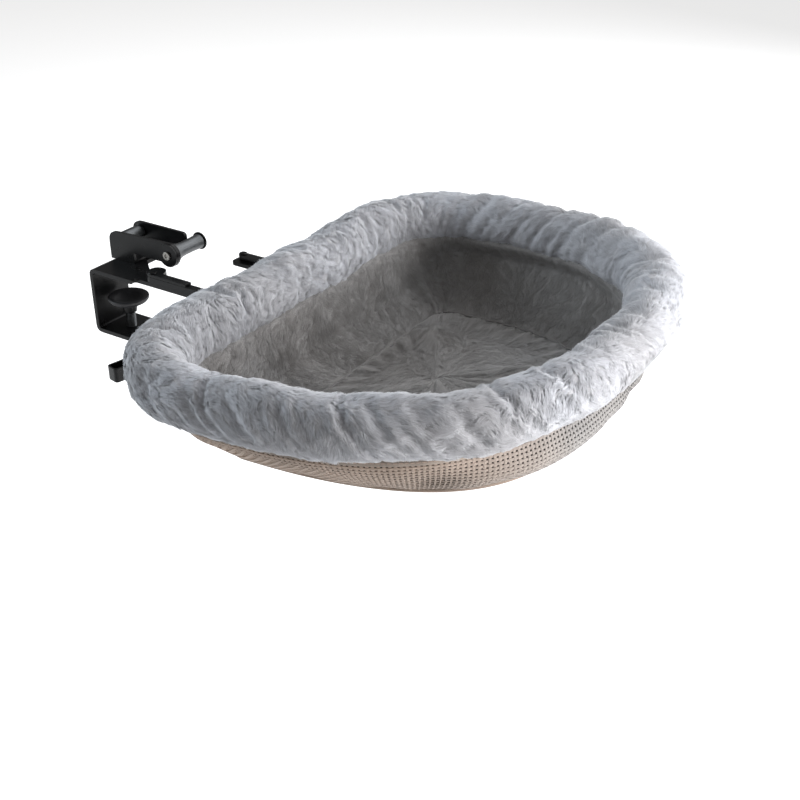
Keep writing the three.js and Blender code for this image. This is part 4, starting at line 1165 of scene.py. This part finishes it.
class BED_OT_stage(bpy.types.Operator):
    """Sets the pale floor, the soft lights and the camera"""

    bl_idname = "bed.stage"
    bl_label = "Stage"

    def execute(self, context):
        stage = context.scene.bed_stage
        self.floor(stage)
        self.world(context.scene)
        self.lamp("Key", (1.9, -0.8, 1.35), 3.4, 67.0, (0.98, 0.99, 1.0))
        self.lamp("Front", (0.5, -2.4, 0.2), 1.6, 66.0, (1.0, 0.98, 0.965))
        self.lamp("Back", (-0.8, 1.7, 0.8), 1.2, 25.0, (0.86, 0.94, 1.0))
        self.camera(context.scene, stage)
        return {"FINISHED"}

    def floor(self, stage):
        mesh = bpy.data.meshes.new("floor")
        reach = 6.0
        corners = [(-reach, -reach), (reach, -reach), (reach, reach), (-reach, reach)]
        mesh.from_pydata([(*corner, stage.floor) for corner in corners], [], [(0, 1, 2, 3)])
        nodes = Nodes("Floor")
        nodes.set(Base_Color=(0.82, 0.82, 0.82, 1.0), Roughness=0.9)
        path = nodes.add("ShaderNodeLightPath").outputs
        seen = nodes.maths("MAXIMUM", path["Is Camera Ray"], path["Is Glossy Ray"])
        glow = nodes.add("ShaderNodeEmission", {"Color": (1.0, 1.0, 1.0, 1.0), "Strength": 0.62})
        plain = nodes.shader.outputs[0]
        mixed = nodes.add("ShaderNodeAddShader", {0: plain, 1: glow.outputs[0]})
        chosen = nodes.add("ShaderNodeMixShader", {0: seen, 1: plain, 2: mixed.outputs[0]})
        nodes.put(nodes.tree.nodes["Material Output"].inputs["Surface"], chosen.outputs[0])
        mesh.materials.append(nodes.material)
        linked("floor", mesh)

    def world(self, scene):
        world = bpy.data.worlds.new("Soft daylight")
        world.use_nodes = True
        scene.world = world
        tree = world.node_tree
        daylight, white = tree.nodes["Background"], tree.nodes.new("ShaderNodeBackground")
        for each, tint, strength in ((daylight, (1.0, 0.985, 0.97), 0.195), (white, (1.0, 1.0, 1.0), 1.0)):
            each.inputs["Color"].default_value = (*tint, 1.0)
            each.inputs["Strength"].default_value = strength
        path = tree.nodes.new("ShaderNodeLightPath")
        mix = tree.nodes.new("ShaderNodeMixShader")
        sources = (path.outputs["Is Camera Ray"], daylight.outputs[0], white.outputs[0])
        for source, socket in zip(sources, mix.inputs):
            tree.links.new(source, socket)
        tree.links.new(mix.outputs[0], tree.nodes["World Output"].inputs["Surface"])

    def stand(self, thing, place, ahead):
        """Puts a lamp or the camera in its place, looking ahead."""
        assign(thing, location=place, rotation_mode="QUATERNION")
        thing.rotation_quaternion = ahead.to_track_quat("-Z", "Y")
        return thing

    def lamp(self, name, place, size, power, tint):
        data = bpy.data.lights.new(name, "AREA")
        assign(data, color=tint, shape="DISK", size=size, energy=power)
        self.stand(linked(name, data), Vector(place), Vector(LAMP_AIM) - Vector(place))

    def camera(self, scene, stage):
        """The camera stands at distance * back + aside * right + above * up from a point on the plate."""
        a, e = stage.azimuth, stage.elevation
        back = Vector((math.sin(a) * math.cos(e), -math.cos(a) * math.cos(e), math.sin(e)))
        right = Vector((math.cos(a), math.sin(a), 0))
        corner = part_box("clamp_bracket")[1]
        aim = Vector((0, corner.y, corner.z))
        data = bpy.data.cameras.new("Camera")
        assign(data, lens=stage.lens, sensor_width=36)
        place = aim + back * stage.distance + right * stage.aside + back.cross(right) * stage.above
        scene.camera = self.stand(linked("Camera", data), place, -back)
        scene.view_settings.view_transform = "Standard"


OPERATORS = (
    BED_OT_stage,
    BED_OT_metal,
    BED_OT_screw,
    BED_OT_rim,
    BED_OT_rim_pile,
    BED_OT_lining,
    BED_OT_lining_pile,
    BED_OT_cushion,
    BED_OT_net,
    BED_OT_hem,
)


class BED_PT_sidebar(bpy.types.Panel):
    """Lists the bed's sizes and the pieces it is made of"""

    bl_label = "Pet bed"
    bl_idname = "BED_PT_sidebar"
    bl_space_type = "VIEW_3D"
    bl_region_type = "UI"
    bl_category = "Pet bed"

    def draw(self, context):
        for key, group in GROUPS.items():
            box = self.layout.box()
            for field in group.__annotations__:
                box.prop(getattr(context.scene, key), field)
        for operator in OPERATORS:
            self.layout.operator(operator.bl_idname)


def register():
    for each in (*GROUPS.values(), *OPERATORS, BED_PT_sidebar):
        bpy.utils.register_class(each)
    for key, group in GROUPS.items():
        setattr(bpy.types.Scene, key, PointerProperty(type=group))


def unregister():
    for key in GROUPS:
        delattr(bpy.types.Scene, key)
    for each in reversed((*GROUPS.values(), *OPERATORS, BED_PT_sidebar)):
        bpy.utils.unregister_class(each)


def main():
    register()
    for operator in OPERATORS:
        group, name = operator.bl_idname.split(".")
        getattr(getattr(bpy.ops, group), name)()


if __name__ == "__main__":
    main()
